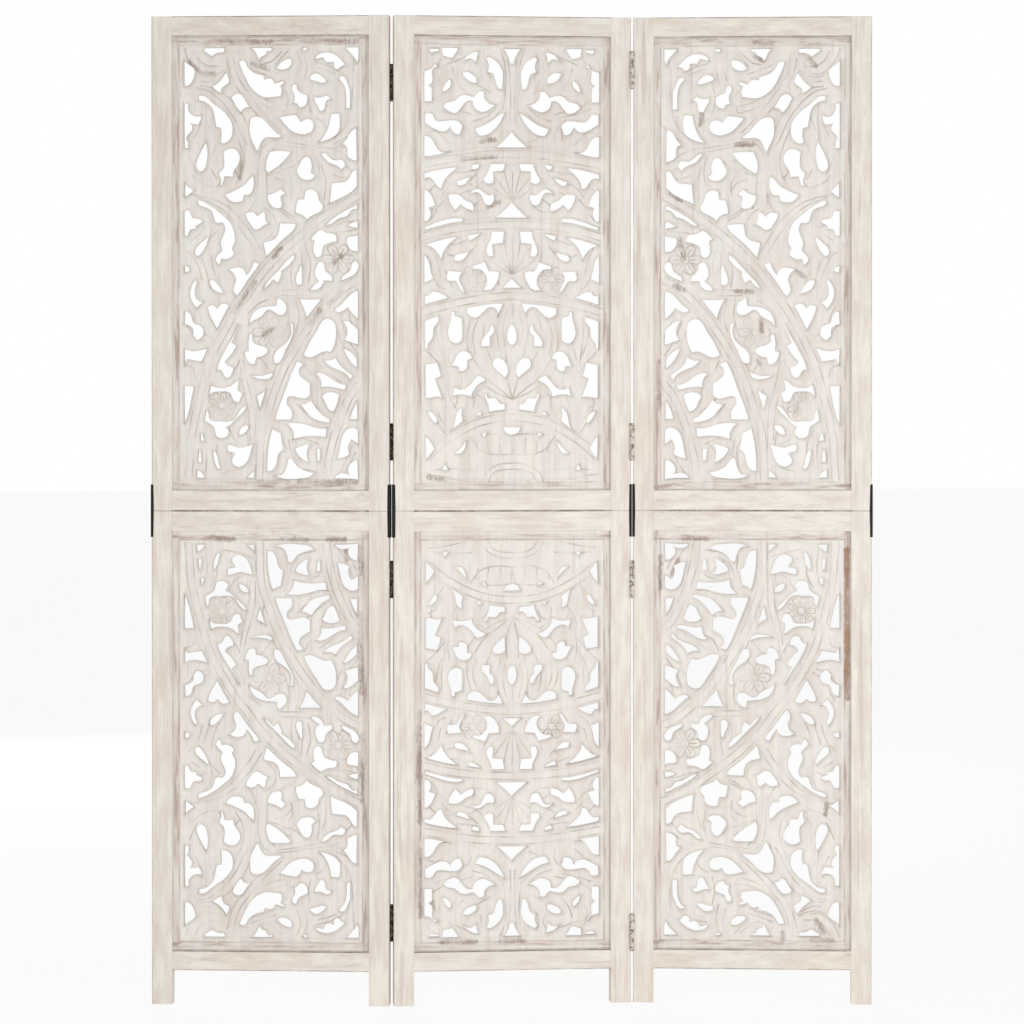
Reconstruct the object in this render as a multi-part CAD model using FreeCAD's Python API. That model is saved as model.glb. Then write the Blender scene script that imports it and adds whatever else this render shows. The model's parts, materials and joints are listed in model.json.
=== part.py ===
import FreeCAD, Part
import math
import os

# A three-panel folding screen in carved, pierced wood.  Lengths are in mm, +Z is up, the front faces -Y,
# and the origin is on the floor under the middle of the middle panel.

# Panels and frame members
panel_width = 398.0
tier_height = 825.0
frame_thickness = 25.0
stile_width = 34.0
top_rail_width = 33.5
seam_rail_width = 34.0
bottom_rail_width = 33.0
leg_length = 57.0
tenon_thickness = 9.0
tenon_length = 20.0
tenon_shoulder = 4.0

# Carved boards, held in a groove of the frame
board_thickness = 15.0
board_setback = 4.0
groove_depth = 8.0
groove_end_clearance = 0.5
carving_side_border = 18.0
upper_carving_bottom_border = 18.2
upper_carving_top_border = 18.2
lower_carving_bottom_border = 21.1
lower_carving_top_border = 20.4

# Joiner plates across the seam of the two tiers
plate_length = 88.0
plate_thickness = 4.45
plate_bed_depth = 2.8
plate_face_setback = 0.5
plate_screw_inner = 16.0
plate_screw_end_margin = 8.0
plate_head_radius = 3.2
plate_head_height = 1.2
plate_shank_radius = 1.7
plate_shank_length = 14.0

# Butt hinges
hinge_height = 60.0
leaf_thickness = 2.2
leaf_reach = 19.0
knuckle_radius = 3.6
knuckle_end_gap = 0.3
knuckle_bed_clearance = 0.3
knuckle_count = 5
axis_offset = 2.4
leaf_notch_clearance = 0.4
pin_radius = 2.0
pin_running_clearance = 0.05
pin_head_radius = 2.5
pin_head_height = 1.2
hinge_screw_spacing = 20.0
hinge_screw_stagger = 4.0
hinge_head_radius = 2.8
hinge_head_height = 0.8
hinge_shank_radius = 1.5
hinge_shank_length = 12.0
hinge_from_seam = 115.0
left_fold_hinge_from_top = 110.0
left_fold_hinge_from_floor = 135.0
right_fold_hinge_from_top = 88.0
right_fold_hinge_from_floor = 118.0

# Each side panel stands this far from flat
rest_fold_degrees = 8.5

cut_overrun = 1.0

# A turn of an opening's outline sharper than this is left as a corner
corner_turn_degrees = 62.0

# Left edge of the squared drawing that a side panel's openings are set out on
DRAWING_LEFT = 53

# Openings of a side panel, as places on the squared drawing: column, row
SIDE_OPENING_SHARES = [
    [(54, 753), (62, 745), (71, 737), (69, 720), (65, 713), (54, 710)],
    [(248, 770), (251, 773), (256, 773), (256, 768), (250, 768)],
    [(206, 739), (211, 747), (223, 754), (231, 754), (231, 745), (222, 737), (214, 736)],
    [(269, 752), (270, 757), (273, 761), (280, 764), (288, 765), (301, 761), (308, 756), (319, 743), (311, 740),
     (307, 736), (302, 738), (300, 748), (287, 748), (283, 756), (277, 755)],
    [(320, 773), (341, 773), (341, 754), (338, 746), (333, 757), (328, 763)],
    [(260, 723), (264, 728), (270, 730), (276, 728), (288, 717), (285, 714), (270, 717), (263, 719)],
    [(231, 709), (234, 712), (238, 710), (242, 700), (247, 697), (257, 692), (252, 675), (243, 673), (240, 679),
     (233, 680), (235, 694), (231, 702)],
    [(268, 691), (278, 690), (288, 694), (296, 686), (287, 681), (285, 670), (277, 667), (273, 676), (268, 685)],
    [(308, 721), (310, 725), (314, 725), (323, 712), (327, 702), (327, 671), (320, 672), (319, 702), (314, 715)],
    [(210, 657), (220, 659), (238, 661), (246, 649), (256, 654), (263, 652), (267, 645), (266, 636), (259, 630),
     (250, 628), (240, 630), (233, 633), (220, 645)],
    [(295, 662), (309, 663), (310, 640), (307, 631), (300, 624), (290, 619), (274, 615), (286, 630), (292, 645)],
    [(87, 773), (121, 773), (120, 765), (106, 763), (100, 759), (93, 764), (86, 769)],
    [(122, 733), (117, 724), (110, 716), (100, 709), (111, 700), (116, 698), (117, 706), (128, 716), (126, 726)],
    [(144, 749), (148, 752), (153, 751), (158, 742), (164, 735), (174, 729), (184, 726), (186, 720), (199, 720),
     (203, 713), (216, 718), (219, 714), (212, 709), (215, 698), (213, 692), (198, 690), (188, 690), (180, 693),
     (170, 700), (162, 709), (154, 724), (148, 738)],
    [(164, 773), (199, 773), (198, 767), (191, 767), (188, 761), (181, 757), (179, 751), (175, 757), (171, 766)],
    [(132, 691), (136, 695), (142, 697), (146, 696), (155, 685), (163, 674), (151, 670), (148, 665), (139, 676)],
    [(77, 693), (83, 694), (100, 682), (120, 666), (128, 656), (133, 646), (134, 634), (131, 622), (121, 614),
     (113, 616), (115, 630), (114, 640), (107, 641), (104, 656), (98, 675), (92, 681), (78, 685)],
    [(54, 682), (62, 679), (64, 664), (69, 660), (82, 662), (82, 654), (78, 645), (64, 647), (66, 634),
     (58, 624), (61, 616), (61, 606), (54, 606)],
    [(162, 650), (163, 655), (168, 658), (176, 658), (184, 654), (196, 641), (206, 631), (215, 625), (202, 623),
     (190, 623), (183, 618), (179, 610), (174, 599), (168, 612), (163, 624), (161, 636)],
    [(90, 617), (84, 607), (79, 596), (74, 584), (73, 577), (75, 571), (82, 567), (87, 570), (92, 584), (93, 600)],
    [(118, 600), (142, 600), (145, 595), (144, 580), (137, 569), (135, 558), (121, 559), (117, 544), (110, 544),
     (113, 556), (111, 564), (116, 570), (119, 590)],
    [(55, 549), (60, 542), (70, 536), (60, 527), (55, 524)],
    [(168, 560), (169, 550), (168, 538), (165, 531), (153, 528), (151, 518), (132, 517), (121, 529), (130, 532),
     (142, 538), (152, 544), (158, 551)],
    [(76, 519), (82, 518), (92, 513), (100, 508), (118, 493), (126, 486), (132, 478), (136, 468), (138, 456),
     (136, 444), (133, 438), (136, 431), (130, 423), (116, 422), (112, 411), (109, 428), (116, 438), (114, 444),
     (119, 463), (117, 482), (104, 485), (99, 500), (92, 506), (77, 513)],
    [(54, 501), (63, 500), (69, 489), (78, 488), (84, 482), (73, 476), (74, 471), (65, 470), (61, 460), (54, 460)],
    [(90, 458), (94, 455), (92, 448), (83, 431), (78, 426), (72, 428), (71, 434), (80, 447)],
    [(155, 497), (169, 498), (174, 492), (183, 500), (186, 498), (188, 488), (195, 479), (182, 474), (175, 470),
     (168, 472), (162, 480), (156, 490)],
    [(184, 448), (190, 450), (200, 453), (207, 460), (210, 470), (211, 480), (220, 480), (238, 479), (236, 472),
     (220, 456), (200, 436), (189, 424), (187, 432)],
    [(195, 600), (212, 601), (230, 599), (224, 590), (210, 576), (202, 570), (191, 564), (188, 574), (190, 588)],
    [(191, 528), (204, 532), (212, 538), (221, 529), (213, 521), (215, 514), (213, 506), (204, 506), (198, 509),
     (193, 516)],
    [(250, 589), (255, 591), (260, 588), (263, 582), (264, 572), (263, 566), (270, 560), (265, 554), (249, 554),
     (241, 562), (239, 569), (242, 576)],
    [(253, 534), (269, 534), (274, 528), (276, 518), (281, 512), (282, 505), (272, 496), (256, 484), (248, 494),
     (237, 497), (238, 510), (241, 520), (251, 520)],
    [(279, 598), (284, 597), (302, 585), (310, 586), (319, 575), (312, 569), (307, 575), (295, 580), (282, 592)],
    [(337, 638), (330, 635), (322, 623), (312, 612), (322, 602), (323, 591), (328, 587), (338, 584)],
    [(338, 568), (338, 541), (328, 531), (308, 520), (293, 513), (295, 532), (296, 546), (310, 548), (319, 550),
     (328, 562), (333, 569)],
    [(286, 477), (298, 488), (326, 505), (339, 512), (338, 503), (328, 500), (322, 492), (312, 489), (296, 479)],
    [(322, 476), (328, 480), (339, 484), (340, 472), (330, 474)],
    [(278, 469), (288, 464), (300, 462), (305, 450), (290, 446), (284, 442), (280, 428), (275, 423), (268, 428),
     (266, 438), (268, 451), (262, 455), (270, 464)],
    [(322, 456), (328, 458), (340, 463), (340, 434), (327, 437), (321, 451)],
    [(235, 429), (235, 421), (224, 408), (214, 401), (214, 394), (209, 381), (200, 387), (190, 375), (184, 371),
     (190, 382), (200, 393), (212, 406), (223, 419)],
    [(244, 411), (248, 408), (248, 394), (248, 379), (242, 377), (237, 384), (241, 400)],
    [(275, 416), (285, 410), (286, 402), (296, 392), (297, 384), (284, 385), (277, 372), (261, 369), (270, 380),
     (276, 384), (269, 394), (270, 406)],
    [(336, 417), (341, 410), (337, 398), (324, 389), (312, 384), (313, 390), (327, 403), (330, 414)],
    [(340, 368), (340, 321), (334, 326), (323, 340), (315, 334), (304, 333), (301, 337), (318, 352), (332, 365)],
    [(243, 354), (262, 353), (280, 354), (269, 340), (255, 322), (251, 336)],
    [(207, 356), (212, 354), (221, 345), (220, 330), (204, 331), (192, 336), (187, 332), (182, 326), (168, 318),
     (160, 310), (163, 324), (168, 332), (176, 338), (186, 341), (205, 343)],
    [(227, 313), (232, 314), (233, 298), (229, 284), (220, 266), (210, 248), (202, 247), (211, 273), (222, 282),
     (228, 293)],
    [(283, 319), (288, 321), (294, 320), (300, 316), (304, 298), (302, 280), (295, 265), (280, 265), (269, 259),
     (250, 261), (262, 286), (274, 306)],
    [(315, 316), (322, 317), (330, 312), (340, 303), (340, 278), (328, 282), (317, 286), (322, 299)],
    [(315, 272), (322, 269), (333, 260), (338, 253), (338, 239), (326, 251), (320, 261)],
    [(303, 257), (310, 244), (318, 236), (331, 226), (326, 219), (304, 237), (289, 245), (284, 252), (294, 252)],
    [(239, 249), (245, 248), (250, 244), (243, 232), (245, 226), (254, 218), (261, 213), (261, 194), (250, 188),
     (240, 190), (228, 192), (223, 187), (223, 178), (232, 160), (230, 153), (203, 153), (210, 176), (220, 202),
     (230, 230)],
    [(54, 409), (62, 406), (63, 401), (55, 398)],
    [(127, 403), (134, 406), (148, 406), (156, 394), (162, 402), (168, 416), (178, 412), (172, 403), (160, 387),
     (148, 368), (141, 359), (136, 378), (138, 384), (132, 400)],
    [(72, 387), (74, 384), (72, 370), (73, 358), (77, 352), (86, 350), (74, 339), (67, 349), (63, 360), (65, 375)],
    [(95, 384), (99, 386), (104, 384), (115, 371), (119, 364), (112, 365), (99, 373)],
    [(92, 341), (101, 344), (108, 338), (115, 346), (128, 343), (120, 328), (108, 303), (101, 316), (95, 329)],
    [(55, 333), (66, 325), (70, 314), (81, 309), (86, 298), (82, 289), (74, 286), (68, 294), (68, 304), (62, 310),
     (54, 312)],
    [(54, 271), (62, 268), (72, 267), (82, 269), (93, 272), (83, 250), (70, 252), (60, 254), (55, 244)],
    [(143, 312), (145, 310), (138, 294), (132, 281), (140, 276), (132, 262), (121, 250), (126, 243), (135, 240),
     (132, 228), (127, 223), (121, 224), (116, 233), (107, 236), (114, 256), (128, 282)],
    [(161, 295), (167, 294), (170, 280), (180, 276), (187, 274), (192, 266), (185, 260), (173, 257), (171, 246),
     (161, 247), (154, 259), (153, 265), (160, 268), (159, 280)],
    [(163, 227), (180, 226), (190, 228), (200, 232), (197, 224), (190, 221), (174, 222)],
    [(54, 209), (70, 208), (66, 186), (60, 160), (54, 145)],
    [(99, 212), (102, 208), (110, 206), (120, 206), (128, 208), (136, 214), (145, 220), (142, 202), (150, 196),
     (145, 183), (133, 188), (128, 198), (115, 200), (103, 199), (95, 190), (96, 203)],
    [(188, 203), (183, 186), (178, 170), (173, 192), (181, 197)],
    [(157, 176), (153, 168), (139, 154), (132, 146), (122, 140), (127, 130), (123, 124), (116, 122), (107, 125),
     (102, 140), (98, 144), (87, 151), (90, 169), (94, 165), (96, 154), (104, 150), (114, 150), (124, 149),
     (133, 152), (142, 164)],
    [(143, 128), (147, 139), (160, 143), (157, 134), (148, 128)],
    [(81, 129), (84, 129), (87, 117), (80, 118)],
    [(78, 102), (81, 102), (83, 82), (76, 82)],
    [(101, 102), (104, 100), (110, 86), (114, 71), (108, 71), (104, 80)],
    [(124, 110), (132, 110), (145, 106), (156, 108), (167, 111), (164, 100), (161, 90), (157, 82), (150, 76),
     (143, 74), (137, 76), (132, 81), (132, 87), (138, 97), (125, 100)],
    [(75, 69), (79, 67), (88, 56), (74, 56)],
    [(169, 69), (169, 56), (157, 56), (163, 62)],
    [(199, 139), (206, 133), (213, 131), (217, 102), (211, 98), (206, 80), (203, 73), (190, 67), (191, 96),
     (195, 124)],
    [(246, 178), (252, 179), (262, 186), (268, 177), (280, 162), (293, 154), (293, 148), (272, 152), (264, 156),
     (254, 166)],
    [(280, 191), (290, 198), (300, 198), (309, 194), (305, 178), (300, 167), (294, 168), (284, 184)],
    [(270, 230), (288, 227), (302, 217), (320, 211), (319, 203), (308, 205), (298, 207), (279, 207), (278, 218)],
    [(222, 146), (240, 147), (260, 143), (272, 139), (288, 139), (287, 124), (264, 126), (250, 125), (234, 120),
     (231, 136)],
    [(236, 104), (250, 110), (260, 112), (256, 97), (259, 81), (248, 87), (240, 95)],
    [(271, 104), (278, 104), (277, 84), (273, 84)],
    [(225, 88), (229, 88), (240, 75), (248, 70), (267, 64), (260, 58), (246, 55), (220, 54), (202, 60), (218, 65),
     (222, 74)],
    [(338, 184), (339, 154), (326, 154), (333, 174)],
    [(320, 135), (328, 139), (340, 135), (340, 112), (329, 120), (324, 108), (326, 95), (312, 89), (305, 88),
     (311, 116)],
    [(339, 85), (340, 53), (320, 55), (300, 55), (308, 62), (327, 60), (323, 72), (330, 82)],
]

# Openings of the left half of the middle panel, repeated on its right: columns left of the centre line, row
PAIRED_OPENING_SHARES = [
    [(140, 771), (122, 771), (123, 767), (136, 764)],
    [(118, 773), (90, 773), (95, 763), (101, 755), (116, 759)],
    [(56, 767), (59, 757), (60, 747), (67, 754), (81, 751), (72, 762)],
    [(129, 746), (123, 742), (134, 732), (133, 722), (140, 710), (134, 706), (134, 683), (147, 683), (147, 734),
     (135, 738)],
    [(105, 720), (102, 718), (102, 712), (106, 705), (116, 699), (112, 712)],
    [(83, 731), (76, 733), (69, 731), (59, 720), (60, 714), (72, 717), (80, 724)],
    [(43, 755), (38, 758), (33, 756), (25, 750), (19, 742), (15, 732), (15, 718), (17, 704), (20, 704), (28, 717),
     (30, 726), (41, 732), (39, 743)],
    [(115, 674), (103, 683), (95, 685), (89, 691), (74, 694), (63, 692), (58, 698), (46, 699), (45, 688),
     (38, 681), (27, 679), (37, 671), (50, 666), (60, 670), (66, 684), (78, 682), (86, 672)],
    [(146, 662), (132, 660), (129, 654), (105, 652), (83, 642), (88, 628), (94, 629), (104, 642), (115, 633),
     (130, 637), (146, 647)],
    [(12, 666), (19, 651), (25, 642), (33, 634), (41, 629), (56, 627), (63, 639), (45, 645), (35, 651)],
    [(147, 626), (131, 616), (128, 610), (105, 600), (125, 594), (147, 591)],
    [(147, 563), (125, 569), (91, 574), (106, 561), (114, 551), (117, 539), (122, 539), (131, 550), (147, 554)],
    [(94, 550), (70, 558), (75, 550), (83, 544), (91, 544)],
    [(68, 577), (55, 580), (56, 574), (66, 570)],
    [(36, 580), (11, 580), (15, 568), (31, 567), (31, 549), (44, 548), (48, 554), (40, 567)],
    [(69, 530), (64, 536), (57, 538), (44, 530), (31, 530), (30, 521), (36, 511), (46, 514), (50, 523)],
    [(107, 528), (98, 529), (89, 528), (78, 519), (70, 516), (65, 501), (75, 504), (86, 512), (95, 502),
     (104, 515)],
    [(147, 536), (141, 534), (135, 527), (128, 510), (140, 506), (136, 495), (143, 484), (147, 484)],
    [(146, 474), (125, 482), (105, 488), (83, 488), (83, 483), (101, 481), (125, 475), (146, 469)],
    [(75, 460), (53, 464), (61, 457), (72, 452)],
    [(146, 444), (113, 454), (91, 458), (108, 443), (115, 432), (118, 419), (123, 428), (133, 439)],
    [(35, 467), (13, 467), (15, 448), (33, 446), (31, 426), (38, 425), (43, 434), (38, 450)],
    [(71, 436), (78, 424), (84, 419), (91, 417), (97, 420), (94, 427), (79, 431)],
    [(147, 427), (142, 422), (137, 408), (132, 388), (147, 381)],
    [(45, 416), (66, 409), (65, 403), (53, 403), (47, 398), (42, 385), (48, 371), (37, 369), (29, 376), (22, 391),
     (22, 400), (39, 401)],
    [(107, 401), (83, 399), (88, 387), (86, 380), (79, 365), (88, 373), (96, 384), (104, 384), (110, 389)],
    [(146, 360), (139, 360), (134, 367), (127, 366), (107, 356), (129, 350), (146, 345)],
    [(75, 339), (55, 343), (15, 347), (20, 335), (24, 326), (28, 338), (35, 341), (49, 331), (56, 325), (75, 330)],
    [(146, 317), (124, 325), (125, 314), (131, 306), (133, 290), (139, 282), (141, 271), (146, 271)],
    [(102, 332), (96, 333), (96, 326), (84, 322), (83, 300), (84, 286), (98, 281), (104, 286), (107, 303),
     (103, 318)],
    [(35, 310), (31, 310), (32, 296), (37, 292), (37, 276), (51, 275), (50, 286), (41, 298)],
    [(95, 255), (91, 262), (85, 266), (79, 267), (72, 264), (67, 255), (75, 253), (75, 240), (82, 234), (89, 234),
     (90, 242), (101, 243)],
    [(28, 255), (22, 256), (11, 249), (12, 223), (23, 233), (32, 244)],
    [(145, 244), (125, 248), (119, 226), (129, 221), (124, 208), (117, 188), (130, 191), (139, 189), (145, 190)],
    [(58, 226), (50, 224), (44, 218), (56, 212), (63, 204), (68, 191), (77, 194), (88, 195), (100, 192), (96, 208),
     (86, 203), (78, 205), (67, 215)],
    [(47, 195), (42, 196), (37, 188), (26, 188), (22, 182), (12, 180), (12, 170), (25, 168), (38, 166), (40, 178),
     (43, 186)],
    [(56, 166), (51, 165), (51, 161), (60, 159)],
    [(87, 171), (83, 171), (84, 158), (82, 151), (93, 142), (105, 134), (96, 149), (95, 155)],
    [(141, 166), (135, 165), (127, 157), (125, 149), (130, 147), (135, 154)],
    [(145, 126), (136, 115), (130, 104), (137, 95), (144, 86)],
    [(76, 119), (78, 108), (84, 98), (95, 97), (84, 108)],
    [(52, 128), (42, 132), (45, 124)],
    [(112, 79), (107, 69), (117, 69)],
]

# Openings across the centre line of the middle panel: columns left of the centre line, row
CENTRE_OPENING_SHARES = [
    [(15, 772), (-15, 772), (-8, 762), (-3, 747), (3, 747), (8, 762)],
    [(27, 607), (-27, 607), (-13, 619), (0, 634), (13, 619)],
    [(27, 490), (-27, 490), (-11, 504), (0, 516), (11, 504)],
    [(16, 373), (-16, 373), (-6, 382), (0, 389), (6, 382)],
    [(0, 313), (-5, 307), (-8, 294), (-6, 282), (0, 277), (6, 282), (8, 294), (5, 307)],
    [(14, 140), (-14, 140), (-6, 129), (6, 129)],
]

# The drawing's other edges: its outermost openings reach the edges of the carved field
DRAWING_RIGHT = max(column for outline in SIDE_OPENING_SHARES for column, row in outline)
DRAWING_BOTTOM = min(row for outline in SIDE_OPENING_SHARES for column, row in outline)
DRAWING_TOP = max(row for outline in SIDE_OPENING_SHARES for column, row in outline)
DRAWING_HALF = max(column for outline in PAIRED_OPENING_SHARES for column, row in outline)

# Places worked out from the sizes above
panel_gap = 2 * (knuckle_radius + knuckle_bed_clearance - leaf_thickness)
panel_pitch = panel_width + panel_gap
screen_height = 2 * tier_height
half_width = panel_width / 2
half_thickness = frame_thickness / 2
inner_half_width = half_width - stile_width
front = -half_thickness
board_front = front + board_setback
axis_reach = half_thickness + axis_offset
plate_face = half_width - plate_bed_depth + plate_thickness
plate_width = frame_thickness - 2 * plate_face_setback
axis_x = panel_pitch / 2
UP = FreeCAD.Vector(0, 0, 1)
ORIGIN = FreeCAD.Vector(0, 0, 0)
RIGHT = FreeCAD.Vector(1, 0, 0)
LEFT_SIDE = -1
RIGHT_SIDE = 1


def box(x0, x1, y0, y1, z0, z1):
    size = (x1 - x0, y1 - y0, z1 - z0)
    return Part.makeBox(*size, FreeCAD.Vector(x0, y0, z0))


def mirrored_x(shape):
    return shape.mirror(ORIGIN, RIGHT)


def rod_x(radius, x0, x1, y, z):
    """A round rod along X from x0 to x1."""
    start = min(x0, x1)
    return Part.makeCylinder(radius, abs(x1 - x0), FreeCAD.Vector(start, y, z), RIGHT)


def tier_levels(tier):
    """Floor-up levels of one tier: its bottom, the opening's bottom and top, and its top."""
    if tier == "upper":
        base = tier_height
        return base, base + seam_rail_width, screen_height - top_rail_width, screen_height
    return 0, leg_length + bottom_rail_width, tier_height - seam_rail_width, tier_height


def rail_spans(tier):
    """Bottom and top level of the two rails of one tier, with the edge that faces the board."""
    bottom, opening_bottom, opening_top, top = tier_levels(tier)
    low_start = leg_length if tier == "lower" else bottom
    return {
        "bottom": (low_start, opening_bottom, opening_bottom),
        "top": (opening_top, top, opening_top),
    }


def tenon_span(start, end, board_edge):
    """A tenon keeps a shoulder at the rail's outer edge and clear of the board's groove."""
    if board_edge == end:
        return start + tenon_shoulder, end - groove_depth - tenon_shoulder
    return start + groove_depth + tenon_shoulder, end - tenon_shoulder


def groove_box(tier):
    """The slot that the board fills, with room for it to move at its edges."""
    _, opening_bottom, opening_top, _ = tier_levels(tier)
    reach = groove_depth + groove_end_clearance
    half = inner_half_width + reach
    return box(-half, half, board_front, board_front + board_thickness, opening_bottom - reach, opening_top + reach)


def rail(tier, place):
    start, end, board_edge = rail_spans(tier)[place]
    low, high = tenon_span(start, end, board_edge)
    half_tenon = tenon_thickness / 2
    half_length = inner_half_width + tenon_length
    body = box(-inner_half_width, inner_half_width, front, half_thickness, start, end)
    tenons = box(-half_length, half_length, -half_tenon, half_tenon, low, high)
    return body.fuse(tenons.cut(body)).removeSplitter().cut(groove_box(tier))


def plate_recess(reach_past):
    """The shallow cut, right across a right-hand stile edge, for a joiner plate."""
    half = plate_length / 2
    inner = half_width - plate_bed_depth
    back = half_thickness + reach_past
    return box(inner, half_width + reach_past, front - reach_past, back, tier_height - half, tier_height + half)


def joiner_plate():
    """The plate of a right-hand stile edge."""
    half = plate_length / 2
    start = front + plate_face_setback
    inner = half_width - plate_bed_depth
    plate = box(inner, plate_face, start, start + plate_width, tier_height - half, tier_height + half)
    for level in plate_screw_levels():
        plate = plate.cut(rod_x(plate_shank_radius, inner, plate_face, plate_middle(), level))
        plate = plate.cut(rod_x(plate_head_radius, plate_face - plate_head_height, plate_face, plate_middle(), level))
    return plate


def plate_middle():
    return front + plate_face_setback + plate_width / 2


def plate_screw_levels():
    outer = plate_length / 2 - plate_screw_end_margin
    offsets = (-outer, -plate_screw_inner, plate_screw_inner, outer)
    return [tier_height + offset for offset in offsets]


def joiner_screws():
    """The four screws of a right-hand plate: shank through the plate, head sunk flush with its face."""
    screws = []
    for level in plate_screw_levels():
        neck = plate_face - plate_head_height
        shank = rod_x(plate_shank_radius, half_width - plate_shank_length, neck, plate_middle(), level)
        head = rod_x(plate_head_radius, neck, plate_face, plate_middle(), level)
        screws.append(shank.fuse(head).removeSplitter())
    return screws


def hinge_heights(hinge_back):
    """Levels of a fold's four hinges; the left fold is the one with its knuckles behind."""
    if hinge_back:
        from_floor, from_top = left_fold_hinge_from_floor, left_fold_hinge_from_top
    else:
        from_floor, from_top = right_fold_hinge_from_floor, right_fold_hinge_from_top
    return [from_floor, tier_height - hinge_from_seam, tier_height + hinge_from_seam, screen_height - from_top]


def stile(tier, side, hinge_back):
    """One stile in its panel's place; hinge_back is True, False, or None where no hinge is let in."""
    bottom, _, _, top = tier_levels(tier)
    post = box(inner_half_width, half_width, front, half_thickness, bottom, top).cut(groove_box(tier))
    half_tenon = tenon_thickness / 2
    for start, end, board_edge in rail_spans(tier).values():
        low, high = tenon_span(start, end, board_edge)
        post = post.cut(box(inner_half_width, inner_half_width + tenon_length, -half_tenon, half_tenon, low, high))
    post = post.cut(plate_recess(cut_overrun))
    for screw in joiner_screws():
        post = post.cut(screw)
    if hinge_back is not None:
        for level in hinge_heights(hinge_back):
            if bottom < level < top:
                post = post.cut(leaf_recess(level, hinge_back))
                for screw in hinge_screws(level, hinge_back):
                    post = post.cut(screw)
    return post if side == RIGHT_SIDE else mirrored_x(post)


def toward(hinge_back):
    """Plus one where the knuckles stand behind the panels, minus one where they stand in front."""
    return 1 if hinge_back else -1


def span_y(y0, y1):
    return min(y0, y1), max(y0, y1)


def leaf_recess(level, hinge_back):
    """The cut for a leaf in a right-hand stile edge, open on the knuckle's face."""
    sign = toward(hinge_back)
    y0, y1 = span_y(sign * (axis_reach - leaf_reach), sign * (half_thickness + cut_overrun))
    half = hinge_height / 2
    return box(half_width - leaf_thickness, half_width + cut_overrun, y0, y1, level - half, level + half)


def knuckle_spans(level):
    """Bottom and top of each knuckle of a hinge, with a thin gap between neighbours."""
    pitch = (hinge_height + knuckle_end_gap) / knuckle_count
    base = level - hinge_height / 2
    return [(base + i * pitch, base + (i + 1) * pitch - knuckle_end_gap) for i in range(knuckle_count)]


def leaf(level, hinge_back, owns_ends):
    """The leaf of a right-hand stile edge; the leaf that owns the end knuckles also holds the pin."""
    sign = toward(hinge_back)
    axis_y = sign * axis_reach
    half = hinge_height / 2
    y0, y1 = span_y(axis_y - sign * leaf_reach, axis_y)
    plate = box(half_width - leaf_thickness, half_width, y0, y1, level - half, level + half)
    bore = pin_radius if owns_ends else pin_radius + pin_running_clearance
    notch = knuckle_radius + leaf_notch_clearance
    for index, (low, high) in enumerate(knuckle_spans(level)):
        own = (index % 2 == 0) == owns_ends
        base = FreeCAD.Vector(axis_x, axis_y, low)
        if own:
            plate = plate.fuse(Part.makeCylinder(knuckle_radius, high - low, base, UP))
        else:
            gap_low = max(low - knuckle_end_gap, level - half - cut_overrun)
            gap_high = high + knuckle_end_gap
            if index == 0:
                gap_low = low - cut_overrun
            if index == knuckle_count - 1:
                gap_high = high + cut_overrun
            place = FreeCAD.Vector(axis_x, axis_y, gap_low)
            plate = plate.cut(Part.makeCylinder(notch, gap_high - gap_low, place, UP))
    length = hinge_height + 2 * cut_overrun
    place = FreeCAD.Vector(axis_x, axis_y, level - half - cut_overrun)
    plate = plate.cut(Part.makeCylinder(bore, length, place, UP))
    for y, z in hinge_screw_places(level, hinge_back):
        plate = plate.cut(rod_x(hinge_shank_radius, half_width - leaf_thickness, half_width, y, z))
    return plate.removeSplitter()


def hinge_screw_places(level, hinge_back):
    """Three screws in each leaf, the middle one set deeper."""
    sign = toward(hinge_back)
    face = half_thickness
    middle = sign * (face - (leaf_reach - axis_offset) / 2)
    places = []
    for step in (-1, 0, 1):
        shift = hinge_screw_stagger if step == 0 else 0
        places.append((middle - sign * shift, level + step * hinge_screw_spacing))
    return places


def hinge_screws(level, hinge_back):
    screws = []
    for y, z in hinge_screw_places(level, hinge_back):
        shank = rod_x(hinge_shank_radius, half_width - hinge_shank_length, half_width, y, z)
        head = rod_x(hinge_head_radius, half_width, half_width + hinge_head_height, y, z)
        screws.append(shank.fuse(head).removeSplitter())
    return screws


def hinge_pin(level, hinge_back):
    """A pin with a rivet head at each end, on the axis right of a panel."""
    axis_y = toward(hinge_back) * axis_reach
    half = hinge_height / 2
    pin = Part.makeCylinder(pin_radius, hinge_height, FreeCAD.Vector(axis_x, axis_y, level - half), UP)
    for start in (level - half - pin_head_height, level + half):
        head = Part.makeCylinder(pin_head_radius, pin_head_height, FreeCAD.Vector(axis_x, axis_y, start), UP)
        pin = pin.fuse(head)
    return pin.removeSplitter()


def turn_degrees(before, at, after):
    """How far an outline turns at a point."""
    first = at - before
    second = after - at
    return math.degrees(first.getAngle(second))


def is_corner(before, at, after):
    """A point where the outline turns sharply, or where an upright edge starts or ends."""
    upright = at.x in (before.x, after.x)
    return upright or turn_degrees(before, at, after) > corner_turn_degrees


def outline_wire(points):
    """A closed outline: smooth curves between its corners, and straight where two corners are neighbours."""
    count = len(points)
    corners = [i for i in range(count) if is_corner(points[i - 1], points[i], points[(i + 1) % count])]
    if not corners:
        curve = Part.BSplineCurve()
        curve.interpolate(points, PeriodicFlag=True)
        return Part.Wire([curve.toShape()])
    edges = []
    for index, start in enumerate(corners):
        end = corners[(index + 1) % len(corners)]
        steps = (end - start) % count or count
        run = [points[(start + step) % count] for step in range(steps + 1)]
        if len(run) == 2:
            edges.append(Part.LineSegment(run[0], run[1]).toShape())
        else:
            curve = Part.BSplineCurve()
            curve.interpolate(run)
            edges.append(curve.toShape())
    return Part.Wire(edges)


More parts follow.
